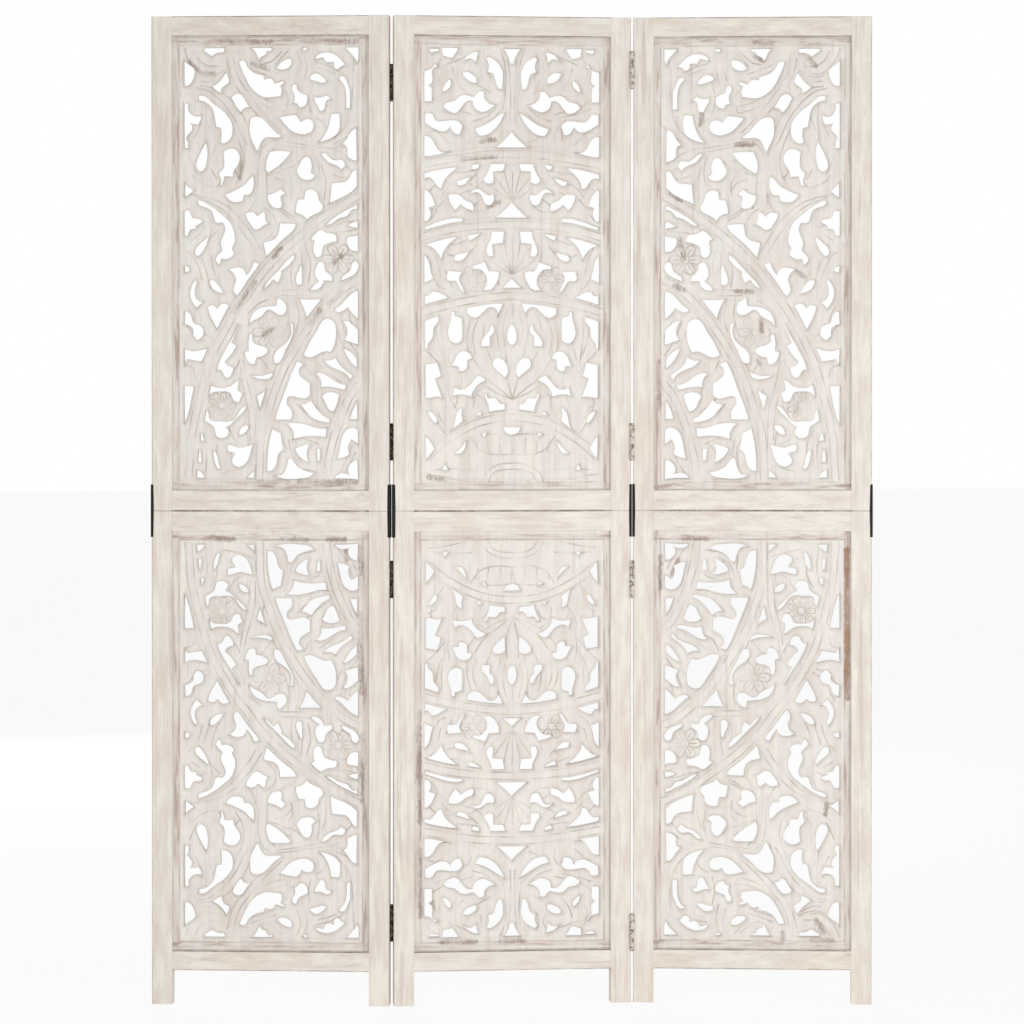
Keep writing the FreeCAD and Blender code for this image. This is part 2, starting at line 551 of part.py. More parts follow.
def carving_field(tier):
    """Half width, bottom and top of the field that the openings fill."""
    _, opening_bottom, opening_top, _ = tier_levels(tier)
    half = inner_half_width - carving_side_border
    if tier == "upper":
        return half, opening_bottom + upper_carving_bottom_border, opening_top - upper_carving_top_border
    return half, opening_bottom + lower_carving_bottom_border, opening_top - lower_carving_top_border


def row_level(tier, row):
    """Level of a drawing row; the lower tier mirrors the upper one about the seam."""
    _, low, high = carving_field(tier)
    share = (row - DRAWING_BOTTOM) / (DRAWING_TOP - DRAWING_BOTTOM)
    return low + share * (high - low) if tier == "upper" else high - share * (high - low)


def side_points(tier, outline, flip):
    half, _, _ = carving_field(tier)
    points = []
    for column, row in outline:
        share = (column - DRAWING_LEFT) / (DRAWING_RIGHT - DRAWING_LEFT)
        x = (2 * share - 1) * half
        points.append(FreeCAD.Vector(-x if flip else x, 0, row_level(tier, row)))
    return points


def middle_points(tier, outline, flip):
    half, _, _ = carving_field(tier)
    points = []
    for column, row in outline:
        x = -column / DRAWING_HALF * half
        points.append(FreeCAD.Vector(-x if flip else x, 0, row_level(tier, row)))
    return points


def opening_outlines(panel, tier):
    if panel == "middle":
        outlines = [middle_points(tier, outline, False) for outline in CENTRE_OPENING_SHARES]
        for flip in (False, True):
            outlines += [middle_points(tier, outline, flip) for outline in PAIRED_OPENING_SHARES]
        return outlines
    return [side_points(tier, outline, panel == "right") for outline in SIDE_OPENING_SHARES]


def carved_board(panel, tier):
    """A board sawn through along every outline, and held by its edges in the frame's groove."""
    _, opening_bottom, opening_top, _ = tier_levels(tier)
    half = inner_half_width + groove_depth
    corners = [
        FreeCAD.Vector(-half, 0, opening_bottom - groove_depth),
        FreeCAD.Vector(half, 0, opening_bottom - groove_depth),
        FreeCAD.Vector(half, 0, opening_top + groove_depth),
        FreeCAD.Vector(-half, 0, opening_top + groove_depth),
    ]
    rim = Part.makePolygon(corners + corners[:1])
    wires = [rim] + [outline_wire(points) for points in opening_outlines(panel, tier)]
    face = Part.makeFace(wires, "Part::FaceMakerCheese")
    board = face.extrude(FreeCAD.Vector(0, board_thickness, 0))
    board.translate(FreeCAD.Vector(0, board_front, 0))
    return board


def placed(shape, panel):
    """Move a panel's shape from the middle to its own place, folded by the resting angle."""
    moved = shape.copy()
    if panel == "left":
        moved.translate(FreeCAD.Vector(-panel_pitch, 0, 0))
        moved.rotate(FreeCAD.Vector(-axis_x, axis_reach, 0), UP, -rest_fold_degrees)
    if panel == "right":
        moved.translate(FreeCAD.Vector(panel_pitch, 0, 0))
        moved.rotate(FreeCAD.Vector(axis_x, -axis_reach, 0), UP, -rest_fold_degrees)
    return moved


def export(name, shapes):
    """Write one node: a single solid, or a group of separate solids."""
    group = shapes if isinstance(shapes, list) else [shapes]
    solids = [solid for shape in group for solid in shape.Solids]
    node = solids[0] if len(solids) == 1 else Part.makeCompound(solids)
    node.exportStep("parts/" + name + ".step")


# The left fold has its knuckles behind, the right fold in front, so the screen closes as a Z
HINGED_EDGES = {
    "left": {LEFT_SIDE: None, RIGHT_SIDE: True},
    "middle": {LEFT_SIDE: True, RIGHT_SIDE: False},
    "right": {LEFT_SIDE: False, RIGHT_SIDE: None},
}
SIDE_NAMES = {LEFT_SIDE: "left", RIGHT_SIDE: "right"}


def on_side(shape, side):
    return shape if side == RIGHT_SIDE else mirrored_x(shape)


def export_frames(panel):
    for tier in ("lower", "upper"):
        for side, side_name in SIDE_NAMES.items():
            post = stile(tier, side, HINGED_EDGES[panel][side])
            export(panel + "_" + tier + "_" + side_name + "_stile", placed(post, panel))
        for place in ("bottom", "top"):
            export(panel + "_" + tier + "_" + place + "_rail", placed(rail(tier, place), panel))
        export(panel + "_" + tier + "_carved_board", placed(carved_board(panel, tier), panel))


def export_joiners(panel):
    screws = []
    for side, side_name in SIDE_NAMES.items():
        export(panel + "_" + side_name + "_joiner_plate", placed(on_side(joiner_plate(), side), panel))
        screws += [placed(on_side(screw, side), panel) for screw in joiner_screws()]
    export(panel + "_joiner_screws", screws)


def export_hinges(panel):
    screws = []
    for side, hinge_back in HINGED_EDGES[panel].items():
        if hinge_back is None:
            continue
        fold = "left" if hinge_back else "right"
        for number, level in enumerate(hinge_heights(hinge_back), 1):
            shape = leaf(level, hinge_back, panel == "middle")
            name = fold + "_fold_hinge_" + str(number) + "_" + panel + "_leaf"
            export(name, placed(on_side(shape, side), panel))
            screws += [placed(on_side(screw, side), panel) for screw in hinge_screws(level, hinge_back)]
    export(panel + "_hinge_screws", screws)


def export_pins():
    pins = []
    for side, hinge_back in HINGED_EDGES["middle"].items():
        pins += [on_side(hinge_pin(level, hinge_back), side) for level in hinge_heights(hinge_back)]
    export("hinge_pins", pins)


os.makedirs("parts", exist_ok=True)
for panel in HINGED_EDGES:
    export_frames(panel)
    export_joiners(panel)
    export_hinges(panel)
export_pins()
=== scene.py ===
# %% [markdown]
# # A carved three-panel folding screen
# The CAD model already has every board, rail, stile, plate and hinge in its true place and size.  Blender
# adds what the eye reads as carved, whitewashed wood: rounded edges, cut lines, grain, rubbed wash and dark
# iron.  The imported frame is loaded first, and its box is kept so that the dressed screen can be measured
# against it.

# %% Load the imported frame
import json
import math
import bmesh
import bpy
import numpy as np
from mathutils import Matrix, Vector
from mathutils.geometry import delaunay_2d_cdt
from mathutils.kdtree import KDTree

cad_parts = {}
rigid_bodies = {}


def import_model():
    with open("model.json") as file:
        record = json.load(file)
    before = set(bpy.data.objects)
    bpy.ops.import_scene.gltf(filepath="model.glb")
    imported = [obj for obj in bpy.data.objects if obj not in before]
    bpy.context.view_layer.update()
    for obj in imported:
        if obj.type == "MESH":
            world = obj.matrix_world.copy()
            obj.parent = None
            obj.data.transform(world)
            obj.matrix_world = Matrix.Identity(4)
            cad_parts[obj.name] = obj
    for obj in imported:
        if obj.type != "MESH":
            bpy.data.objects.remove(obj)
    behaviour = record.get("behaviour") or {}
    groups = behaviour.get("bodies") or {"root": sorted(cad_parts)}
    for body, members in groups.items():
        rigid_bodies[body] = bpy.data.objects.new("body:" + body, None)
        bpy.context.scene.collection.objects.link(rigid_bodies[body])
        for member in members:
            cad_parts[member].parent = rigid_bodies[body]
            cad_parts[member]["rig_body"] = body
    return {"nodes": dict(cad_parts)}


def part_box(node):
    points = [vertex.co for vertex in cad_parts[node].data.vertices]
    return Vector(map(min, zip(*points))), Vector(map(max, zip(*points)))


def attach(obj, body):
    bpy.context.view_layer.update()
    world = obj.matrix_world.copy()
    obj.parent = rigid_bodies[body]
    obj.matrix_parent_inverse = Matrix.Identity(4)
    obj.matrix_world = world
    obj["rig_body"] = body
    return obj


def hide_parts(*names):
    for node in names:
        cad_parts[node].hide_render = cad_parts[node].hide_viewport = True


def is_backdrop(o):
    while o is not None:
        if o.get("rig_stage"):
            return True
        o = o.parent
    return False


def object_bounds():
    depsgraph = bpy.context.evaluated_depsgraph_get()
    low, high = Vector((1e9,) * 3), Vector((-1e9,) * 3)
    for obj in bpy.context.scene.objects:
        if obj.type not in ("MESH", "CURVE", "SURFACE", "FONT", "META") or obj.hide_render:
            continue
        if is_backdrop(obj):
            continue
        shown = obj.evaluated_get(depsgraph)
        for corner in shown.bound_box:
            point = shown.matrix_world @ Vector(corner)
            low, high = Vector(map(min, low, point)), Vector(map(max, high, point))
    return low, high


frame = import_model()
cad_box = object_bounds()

MM = 0.001
scene = bpy.context.scene

# %% [markdown]
# Colours are written as the hex codes a painter would match by eye.  Shaders count in linear light, so one
# function converts them.  A second one adds a node and fills its sockets, with a value or with a link.  The
# others are short names for the four nodes used most: arithmetic, mixing, a soft step and noise.

# %% Small helpers for colours and nodes
def hex_colour(code):
    parts = [int(code[i:i + 2], 16) / 255 for i in (1, 3, 5)]
    linear = [p / 12.92 if p <= 0.04045 else ((p + 0.055) / 1.055) ** 2.4 for p in parts]
    return (*linear, 1.0)


def add_node(tree, kind, inputs=(), **settings):
    node = tree.nodes.new(kind)
    for name, value in settings.items():
        setattr(node, name, value)
    for key, value in dict(inputs).items():
        if isinstance(value, bpy.types.NodeSocket):
            tree.links.new(value, node.inputs[key])
        else:
            node.inputs[key].default_value = value
    return node


def math_of(tree, operation, *values, clamp=False):
    node = add_node(tree, "ShaderNodeMath", dict(enumerate(values)), operation=operation, use_clamp=clamp)
    return node.outputs[0]


def blend_colours(tree, share, first, second):
    node = add_node(tree, "ShaderNodeMix", {0: share, 6: first, 7: second}, data_type="RGBA")
    return node.outputs[2]


def ramp_of(tree, value, low, high):
    node = add_node(tree, "ShaderNodeMapRange", {"Value": value, "From Min": low, "From Max": high},
                    interpolation_type="SMOOTHSTEP")
    return node.outputs[0]


def noise_of(tree, place, size, detail=4.0, rough=0.58):
    node = add_node(tree, "ShaderNodeTexNoise",
                    {"Vector": place, "Scale": 1 / size, "Detail": detail, "Roughness": rough})
    return node.outputs[0]


print("helpers ready, e.g. #e4dbd0 is", [round(c, 3) for c in hex_colour("#e4dbd0")[:3]])

# %% [markdown]
# The wood is limed: a thin white wash that sits in the grain and has been rubbed back.  Streaks run with
# the grain, cloudy patches show where the wash lies thicker, and bare brown wood shows where hands and
# dusting have worn it.  The carved boards bring six measures of their own, for edges, cut lines, worn and
# bare places and the two strips of the border; a plain stile or rail has none of them, so there
# they read as zero.  Edges and cut lines are darkened with painted shade, the cut lines with some dirt as
# well, and the two strips with a brown stain and painted shade of the recess beside the frame.

# %% The limed wood finishes
GRAIN, STREAK, MOTTLE = (2.2 * MM, 70 * MM), (9 * MM, 260 * MM), (14 * MM, 75 * MM)
STRIP_STREAK, SCRATCH = (7 * MM, 90 * MM), (2.5 * MM, 9 * MM)
CLOUD, BROAD, FLECK = 38 * MM, 170 * MM, 5 * MM
GRAIN_BUMP = 0.4 * MM
THICK_WASH, THIN_STREAK, ROSY, CREAM = "#f0ece6", "#c3b4a8", "#d9c9bf", "#f1ece1"
PAINTED_EDGE_SHADE, CUT_SHADE_AND_DIRT, PALE_STAIN_AND_SHADE, DARK_STAIN_AND_SHADE = "#b5aaa0", "#978a7f", "#cdbdb4", "#a5938a"
RUBBED_WOOD, RUBBED_AND_SHADED_DARK, BARE_WOOD = "#97857a", "#7f7066", "#966e50"


def streaks_of(tree, place, grain, size, detail=4.0, rough=0.6):
    across, along = size
    scale = {"X": (1 / along, 1 / across, 1 / across), "Z": (1 / across, 1 / across, 1 / along)}[grain]
    stretched = add_node(tree, "ShaderNodeMapping", {"Vector": place, "Scale": scale}).outputs[0]
    return noise_of(tree, stretched, 1.0, detail, rough)


def measure_of(tree, label):
    return add_node(tree, "ShaderNodeAttribute", attribute_name=label).outputs["Fac"]


def limed_wood(name, grain, wash, thin, tan, tan_share, streak_share, worn_and_shaded_tone=RUBBED_WOOD, edge_wear_and_shade=0.0):
    material = bpy.data.materials.new(name)
    material.use_nodes = True
    tree = material.node_tree
    shader = tree.nodes["Principled BSDF"]
    place = add_node(tree, "ShaderNodeTexCoord").outputs["Object"]
    fine_grain = streaks_of(tree, place, grain, GRAIN, 5.0)
    long_streaks = streaks_of(tree, place, grain, STREAK, 4.0, 0.62)
    mottle = streaks_of(tree, place, grain, MOTTLE, 3.0, 0.55)
    scratch = streaks_of(tree, place, grain, SCRATCH, 4.0, 0.65)
    clouds = noise_of(tree, place, CLOUD)
    broad = noise_of(tree, place, BROAD, 3.0, 0.5)
    flecks = noise_of(tree, place, FLECK, 3.0, 0.6)

    def times(first, second, clamp=False):
        return math_of(tree, "MULTIPLY", first, second, clamp=clamp)

    def part_of(value, low, high, share):
        return times(ramp_of(tree, value, low, high), share)

    def tinted(colour, share, tone):
        return blend_colours(tree, share, colour, hex_colour(tone))

    colour = tinted(hex_colour(thin), ramp_of(tree, fine_grain, 0.36, 0.66), wash)
    colour = tinted(colour, part_of(clouds, 0.45, 0.72, 0.5), THICK_WASH)
    colour = tinted(colour, part_of(broad, 0.45, 0.68, tan_share), tan)
    colour = tinted(colour, part_of(long_streaks, 0.55, 0.72, streak_share), THIN_STREAK)
    colour = tinted(colour, part_of(mottle, 0.5, 0.68, streak_share), ROSY)
    colour = tinted(colour, part_of(mottle, 0.5, 0.34, streak_share), CREAM)
    patchy = ramp_of(tree, math_of(tree, "MULTIPLY_ADD", flecks, 0.3, clouds), 0.50, 0.76)
    # painted shade: the wood is darkened towards the rounded edge of each opening
    colour = tinted(colour, times(measure_of(tree, "edge"), 0.3), PAINTED_EDGE_SHADE)
    # painted shade with some dirt: the cut lines, and the frame line beside the stile, are darkened in
    # patches
    cut_shade_and_dirt = times(measure_of(tree, "cut_line"), math_of(tree, "MULTIPLY_ADD", patchy, 0.4, 0.25))
    colour = tinted(colour, cut_shade_and_dirt, CUT_SHADE_AND_DIRT)
    # the two strips along the frame: a brown stain, and painted shade of the recess where the board sits back
    # from the frame
    for label, way in (("side_strip", "Z"), ("end_strip", "X")):
        strip = measure_of(tree, label)
        strip_streaks = streaks_of(tree, place, way, STRIP_STREAK)
        everywhere = math_of(tree, "ADD", part_of(strip_streaks, 0.36, 0.56, 0.5), 0.1)
        colour = tinted(colour, times(strip, everywhere), PALE_STAIN_AND_SHADE)
        colour = tinted(colour, times(strip, part_of(strip_streaks, 0.53, 0.63, 0.7)), DARK_STAIN_AND_SHADE)
    worn, bare = measure_of(tree, "worn"), measure_of(tree, "bare_wood")
    broken = math_of(tree, "MULTIPLY_ADD", scratch, 1.6, times(worn, 0.75))
    broken = times(ramp_of(tree, broken, 1.05, 1.65), ramp_of(tree, worn, 0.0, 0.3))
    rubbed_and_shaded = math_of(tree, "MAXIMUM", broken, edge_wear_and_shade)
    rubbed_and_shaded = times(rubbed_and_shaded, math_of(tree, "MULTIPLY_ADD", patchy, 0.55, 0.25), clamp=True)
    colour = tinted(colour, rubbed_and_shaded, worn_and_shaded_tone)
    ragged = math_of(tree, "MULTIPLY_ADD", clouds, 1.5, math_of(tree, "ADD", scratch, bare))
    opened = times(part_of(ragged, 1.55, 2.4, 0.85), ramp_of(tree, bare, 0.0, 0.8))
    colour = tinted(colour, opened, BARE_WOOD)
    rough = math_of(tree, "MULTIPLY_ADD", fine_grain, 0.2, 0.58)
    height = math_of(tree, "MULTIPLY_ADD", flecks, 0.7, fine_grain)
    bump = add_node(tree, "ShaderNodeBump", {"Height": height, "Strength": 0.3, "Distance": GRAIN_BUMP})
    tree.links.new(colour, shader.inputs["Base Color"])
    tree.links.new(rough, shader.inputs["Roughness"])
    tree.links.new(bump.outputs[0], shader.inputs["Normal"])
    shader.inputs["Specular IOR Level"].default_value = 0.3
    return material


FRAME_WASH = {"wash": "#e9e3dc", "thin": "#dfd7ce", "tan": "#dfd0bf", "tan_share": 0.32, "streak_share": 0.55}
BOARD_WASH = {"wash": "#e8e4e0", "thin": "#e2ddd8", "tan": "#dcd2cc", "tan_share": 0.4, "streak_share": 0.35}
stile_wood = limed_wood("limed_wood_stiles", "Z", **FRAME_WASH)
rail_wood = limed_wood("limed_wood_rails", "X", **FRAME_WASH)
rubbed_stile_edge = limed_wood("limed_wood_stile_edges", "Z", **FRAME_WASH, edge_wear_and_shade=0.7)
# the rails' rounded edges are darker: wear, and painted shade of the groove where the tiers meet
rubbed_and_shaded_rail_edge = limed_wood("limed_wood_rail_edges", "X", **FRAME_WASH, worn_and_shaded_tone=RUBBED_AND_SHADED_DARK,
                              edge_wear_and_shade=1.0)
carved_wood = limed_wood("limed_wood_carving", "Z", **BOARD_WASH)
print("wood finishes:", [m.name for m in bpy.data.materials if m.name.startswith("limed")])

# %% [markdown]
# The hinges and plates are mild steel gone nearly black.  The pale patches on the hinges of the left fold
# are painted highlights, standing in for glints on their knuckles.  The hinges on the right fold were
# brushed over with the same white wash as the wood, so they get their own finish: pale, with the iron
# showing through in patches.

# %% The steel finishes
RUST_AND_GLINT_PATCH, PITTING, PIT_BUMP = 6 * MM, 0.8 * MM, 0.15 * MM


def old_steel(name, dark, light, patch_low, patch_high, metal):
    material = bpy.data.materials.new(name)
    material.use_nodes = True
    tree = material.node_tree
    shader = tree.nodes["Principled BSDF"]
    place = add_node(tree, "ShaderNodeTexCoord").outputs["Object"]
    broad = noise_of(tree, place, RUST_AND_GLINT_PATCH, 5.0, 0.65)
    fine = noise_of(tree, place, PITTING, 2.0, 0.5)
    patch = ramp_of(tree, broad, patch_low, patch_high)
    colour = blend_colours(tree, patch, hex_colour(dark), hex_colour(light))
    tree.links.new(colour, shader.inputs["Base Color"])
    tree.links.new(math_of(tree, "MULTIPLY_ADD", broad, 0.3, 0.5), shader.inputs["Roughness"])
    bump = add_node(tree, "ShaderNodeBump", {"Height": fine, "Strength": 0.2, "Distance": PIT_BUMP})
    tree.links.new(bump.outputs[0], shader.inputs["Normal"])
    shader.inputs["Metallic"].default_value = metal
    shader.inputs["Specular IOR Level"].default_value = 0.25
    return material


# the hinges' pale patches are painted highlights, standing in for glints on the knuckles
hinge_steel_painted_glints = old_steel("rubbed_black_steel", "#3f3832", "#b5a99d", 0.44, 0.60, 0.1)
plate_steel = old_steel("blackened_steel", "#120f0d", "#231e1b", 0.4, 0.7, 0.0)
washed_steel = old_steel("whitewashed_steel", "#6d625a", "#ded4c8", 0.36, 0.56, 0.0)
print("steel finishes:", hinge_steel_painted_glints.name, plate_steel.name, washed_steel.name)

# %% [markdown]
# A carved board is read off its CAD mesh: the flat front face gives the outer edge and every opening as a
# loop of points.  Working flat, in the board's own across-and-up directions, keeps the six boards alike
# although the side panels stand at an angle.

# %% Read a board's outlines from its CAD front
WELD, LOOP_STEP = 0.002 * MM, 2.0 * MM
ROUGHLY_FRONT, SAME_PLANE = 0.9, 0.999


def welded(node_name):
    bm = bmesh.new()
    bm.from_mesh(frame["nodes"][node_name].data)
    bmesh.ops.remove_doubles(bm, verts=bm.verts, dist=WELD)
    return bm


def walk_loops(pairs):
    neighbours = {}
    for a, b in pairs:
        neighbours.setdefault(a, []).append(b)
        neighbours.setdefault(b, []).append(a)
    loops, seen = [], set()
    for start in neighbours:
        if start in seen:
            continue
        loop, here, before = [], start, None
        while here not in seen:
            seen.add(here)
            loop.append(here)
            ahead = [v for v in neighbours[here] if v != before]
            before, here = here, ahead[0]
        loops.append(loop)
    return loops


def resampled(loop, step):
    points = []
    for a, b in zip(loop, np.roll(loop, -1, axis=0)):
        count = max(1, math.ceil(np.linalg.norm(b - a) / step))
        points += [a + (b - a) * i / count for i in range(count)]
    return np.array(points)


def read_board(node_name):
    bm = welded(node_name)
    bm.normal_update()
    front = [f for f in bm.faces if f.normal.y < -ROUGHLY_FRONT]
    facing = sum((f.normal * f.calc_area() for f in front), Vector()).normalized()
    facing.z = 0
    facing.normalize()
    chosen = set(f for f in front if f.normal.dot(facing) > SAME_PLANE)
    rim = [e for e in bm.edges if sum(f in chosen for f in e.link_faces) == 1]
    across = Vector((-facing.y, facing.x, 0))
    loops = walk_loops([(e.verts[0], e.verts[1]) for e in rim])
    flat = [np.array([(v.co.dot(across), v.co.z) for v in loop]) for loop in loops]
    flat.sort(key=lambda loop: -np.ptp(loop[:, 0]) * np.ptp(loop[:, 1]))
    low, high = flat[0].min(0), flat[0].max(0)
    depth_at = min(v.co.dot(-facing) for f in chosen for v in f.verts)
    thickness = max(v.co.dot(-facing) for v in bm.verts) - depth_at
    middle = (low + high) / 2
    turn = Matrix((across, -facing, Vector((0, 0, 1)))).transposed().to_4x4()
    place = turn @ Matrix.Translation((middle[0], depth_at, middle[1]))
    bm.free()
    return {"place": place, "half": (high - low) / 2, "thickness": thickness,
            "loops": [resampled(loop - middle, LOOP_STEP) for loop in flat]}


BOARDS = {name: read_board(name) for name in sorted(frame["nodes"]) if name.endswith("carved_board")}
for name, board in BOARDS.items():
    print(name, "openings", len(board["loops"]) - 1, "thickness", round(board["thickness"] / MM, 2), "mm")

# %% [markdown]
# The carver's drawing is kept as a squared sheet: columns and rows, a square to about a millimetre, with the
# edges of the carved field marked.  A side panel is drawn once for the upper left board; the right one is
# its mirror image and the lower ones hang upside down.  Bands are the raised hoops that cross the panels,
# lines are cuts of the knife, and flowers are rings with cuts between their petals: column, row, inner and
# outer radius, number of petals.

# %% The side panel's drawing
SHEET_LEFT, SHEET_RIGHT, SHEET_BOTTOM, SHEET_TOP, SHEET_HALF = 53, 341, 53, 773, 147
SIDE_BANDS = [
    [(62, 53), (64, 82), (66, 118), (72, 153), (84, 205), (95, 245), (106, 272), (120, 299),
     (141, 337), (158, 360), (181, 394), (211, 428), (230, 446), (250, 464), (264, 475), (290, 496),
     (317, 512), (341, 526)],
    [(178, 53), (179, 80), (180, 110), (184, 140), (194, 170), (204, 203), (220, 242), (232, 262),
     (243, 282), (264, 314), (279, 334), (299, 356), (320, 374), (341, 386)],
    [(288, 53), (292, 86), (301, 126), (309, 150), (319, 176), (328, 195), (341, 212)],
]
SIDE_LINES = [
    [(56, 771), (61, 755), (70, 742), (85, 730), (100, 730)],
    [(75, 732), (90, 725), (108, 727), (120, 735)], [(85, 717), (100, 717), (118, 727)],
    [(72, 768), (80, 752), (95, 742), (110, 742)],
    [(125, 755), (129, 735), (135, 717), (147, 697), (165, 672), (185, 650), (205, 629)],
    [(136, 755), (141, 732), (150, 712), (165, 691), (182, 667), (200, 647), (215, 632)],
    [(75, 706), (95, 700), (112, 687), (127, 670), (140, 650), (150, 627), (159, 610)],
    [(82, 709), (105, 705), (125, 692), (145, 670), (160, 640), (169, 605)],
    [(90, 680), (91, 650), (89, 620)], [(72, 625), (83, 648)], [(104, 662), (95, 638)],
    [(64, 592), (76, 563)], [(108, 612), (98, 585)], [(70, 560), (82, 548), (104, 540)],
    [(100, 570), (108, 555)], [(131, 645), (145, 615), (152, 590), (150, 565), (140, 545)],
    [(124, 600), (134, 575), (146, 555)], [(196, 616), (183, 605), (176, 580), (175, 545), (172, 515)],
    [(203, 605), (192, 590), (190, 565), (191, 535), (197, 505)],
    [(195, 619), (225, 615), (260, 609), (295, 605), (320, 609)], [(205, 612), (235, 608), (270, 601)],
    [(334, 760), (331, 725), (330, 685), (324, 652), (305, 626), (280, 617)],
    [(321, 660), (318, 640), (300, 620)], [(340, 640), (325, 625), (300, 612)],
    [(165, 745), (185, 737), (205, 730)], [(160, 735), (180, 730), (200, 722)],
    [(215, 765), (200, 750), (185, 745)], [(225, 766), (212, 752), (203, 742)],
    [(240, 765), (245, 745), (240, 722)], [(252, 760), (256, 740), (252, 715)],
    [(272, 747), (290, 742), (305, 735), (320, 725)], [(275, 738), (292, 733), (303, 728)],
    [(180, 680), (200, 670), (220, 665)], [(186, 687), (205, 680), (224, 676)],
    [(222, 700), (226, 685), (222, 668)], [(262, 712), (258, 690), (262, 665)],
    [(270, 655), (282, 648), (288, 635)], [(200, 575), (215, 585), (230, 585)],
    [(215, 570), (235, 575), (245, 585)], [(192, 560), (210, 565)],
    [(205, 555), (222, 548), (232, 535)], [(226, 560), (232, 545), (230, 525)],
    [(280, 595), (300, 585), (320, 575), (330, 565)], [(287, 605), (310, 598), (328, 585)],
    [(300, 560), (318, 555), (332, 560)], [(280, 575), (287, 550), (285, 520)],
    [(272, 590), (276, 570), (274, 545)], [(205, 512), (220, 500), (236, 490)],
    [(210, 503), (224, 492), (236, 485)], [(187, 505), (200, 495), (206, 480), (202, 465), (192, 455)],
    [(172, 530), (168, 512), (160, 500)],
    [(59, 530), (80, 526), (107, 519), (131, 505), (150, 485), (167, 462), (182, 435)],
    [(75, 524), (100, 514), (122, 500), (142, 477), (160, 452), (172, 430)],
    [(90, 505), (100, 478), (97, 452)], [(72, 482), (90, 472)], [(112, 472), (100, 458)],
    [(66, 452), (80, 462)], [(62, 432), (72, 420), (80, 404), (84, 386)],
    [(100, 425), (104, 400), (112, 380)], [(85, 420), (92, 398), (98, 372)],
    [(285, 472), (300, 475), (320, 482), (340, 480)], [(300, 465), (325, 467), (342, 475)],
    [(283, 472), (304, 484), (326, 494)], [(215, 369), (245, 370), (280, 372)],
    [(215, 360), (257, 360)], [(232, 420), (230, 395), (232, 375)],
    [(246, 440), (248, 410), (244, 376)], [(256, 435), (262, 410), (258, 380)],
    [(225, 355), (227, 325), (220, 295)], [(238, 355), (243, 325), (238, 300)],
    [(310, 330), (320, 295), (340, 260)], [(325, 330), (330, 310), (341, 290)],
    [(306, 300), (316, 275), (335, 250)], [(252, 250), (262, 230), (285, 218)],
    [(255, 190), (270, 175), (292, 160)], [(240, 180), (255, 165), (280, 150)],
    [(275, 245), (292, 232), (312, 215)], [(280, 205), (283, 185), (296, 170)],
    [(152, 250), (160, 210), (170, 170), (172, 125), (172, 65)],
    [(147, 240), (152, 205), (160, 165), (163, 120)], [(180, 200), (184, 180), (186, 160)],
    [(170, 262), (185, 250), (196, 232)], [(128, 232), (140, 240), (146, 252)],
    [(55, 245), (68, 240), (72, 225)], [(58, 312), (75, 292), (92, 283)],
    [(68, 320), (84, 300), (98, 290)], [(62, 340), (68, 330), (72, 318)],
    [(88, 130), (92, 100), (90, 65)], [(98, 135), (108, 110), (106, 80)],
    [(128, 140), (138, 120), (150, 112)], [(118, 65), (140, 70), (165, 78)],
    [(122, 80), (132, 92), (128, 110)], [(150, 140), (158, 128), (160, 110)],
    [(212, 125), (222, 105), (220, 75)], [(226, 120), (232, 95), (250, 80)],
    [(240, 85), (258, 100), (266, 110)], [(232, 120), (252, 122), (275, 112)],
    [(228, 66), (250, 70), (272, 66)], [(262, 130), (280, 138), (295, 140)],
    [(308, 64), (319, 84), (330, 110)], [(318, 62), (327, 80), (336, 100)],
    [(175, 325), (188, 335), (205, 340)], [(160, 330), (176, 345), (190, 352)],
    [(204, 268), (208, 250), (203, 235)], [(300, 395), (312, 402)],
    [(268, 400), (280, 392), (292, 388)],
]
SIDE_FLOWERS = [(307, 420, 7, 25, 6), (194, 299, 5, 26, 6), (117, 177, 6, 22, 9)]
print("side drawing:", len(SIDE_BANDS), "bands,", len(SIDE_LINES), "lines,", len(SIDE_FLOWERS), "flowers")

# %% [markdown]
# The middle panel is the same left and right, so only the left half is drawn: columns count outwards from its
# centre line.

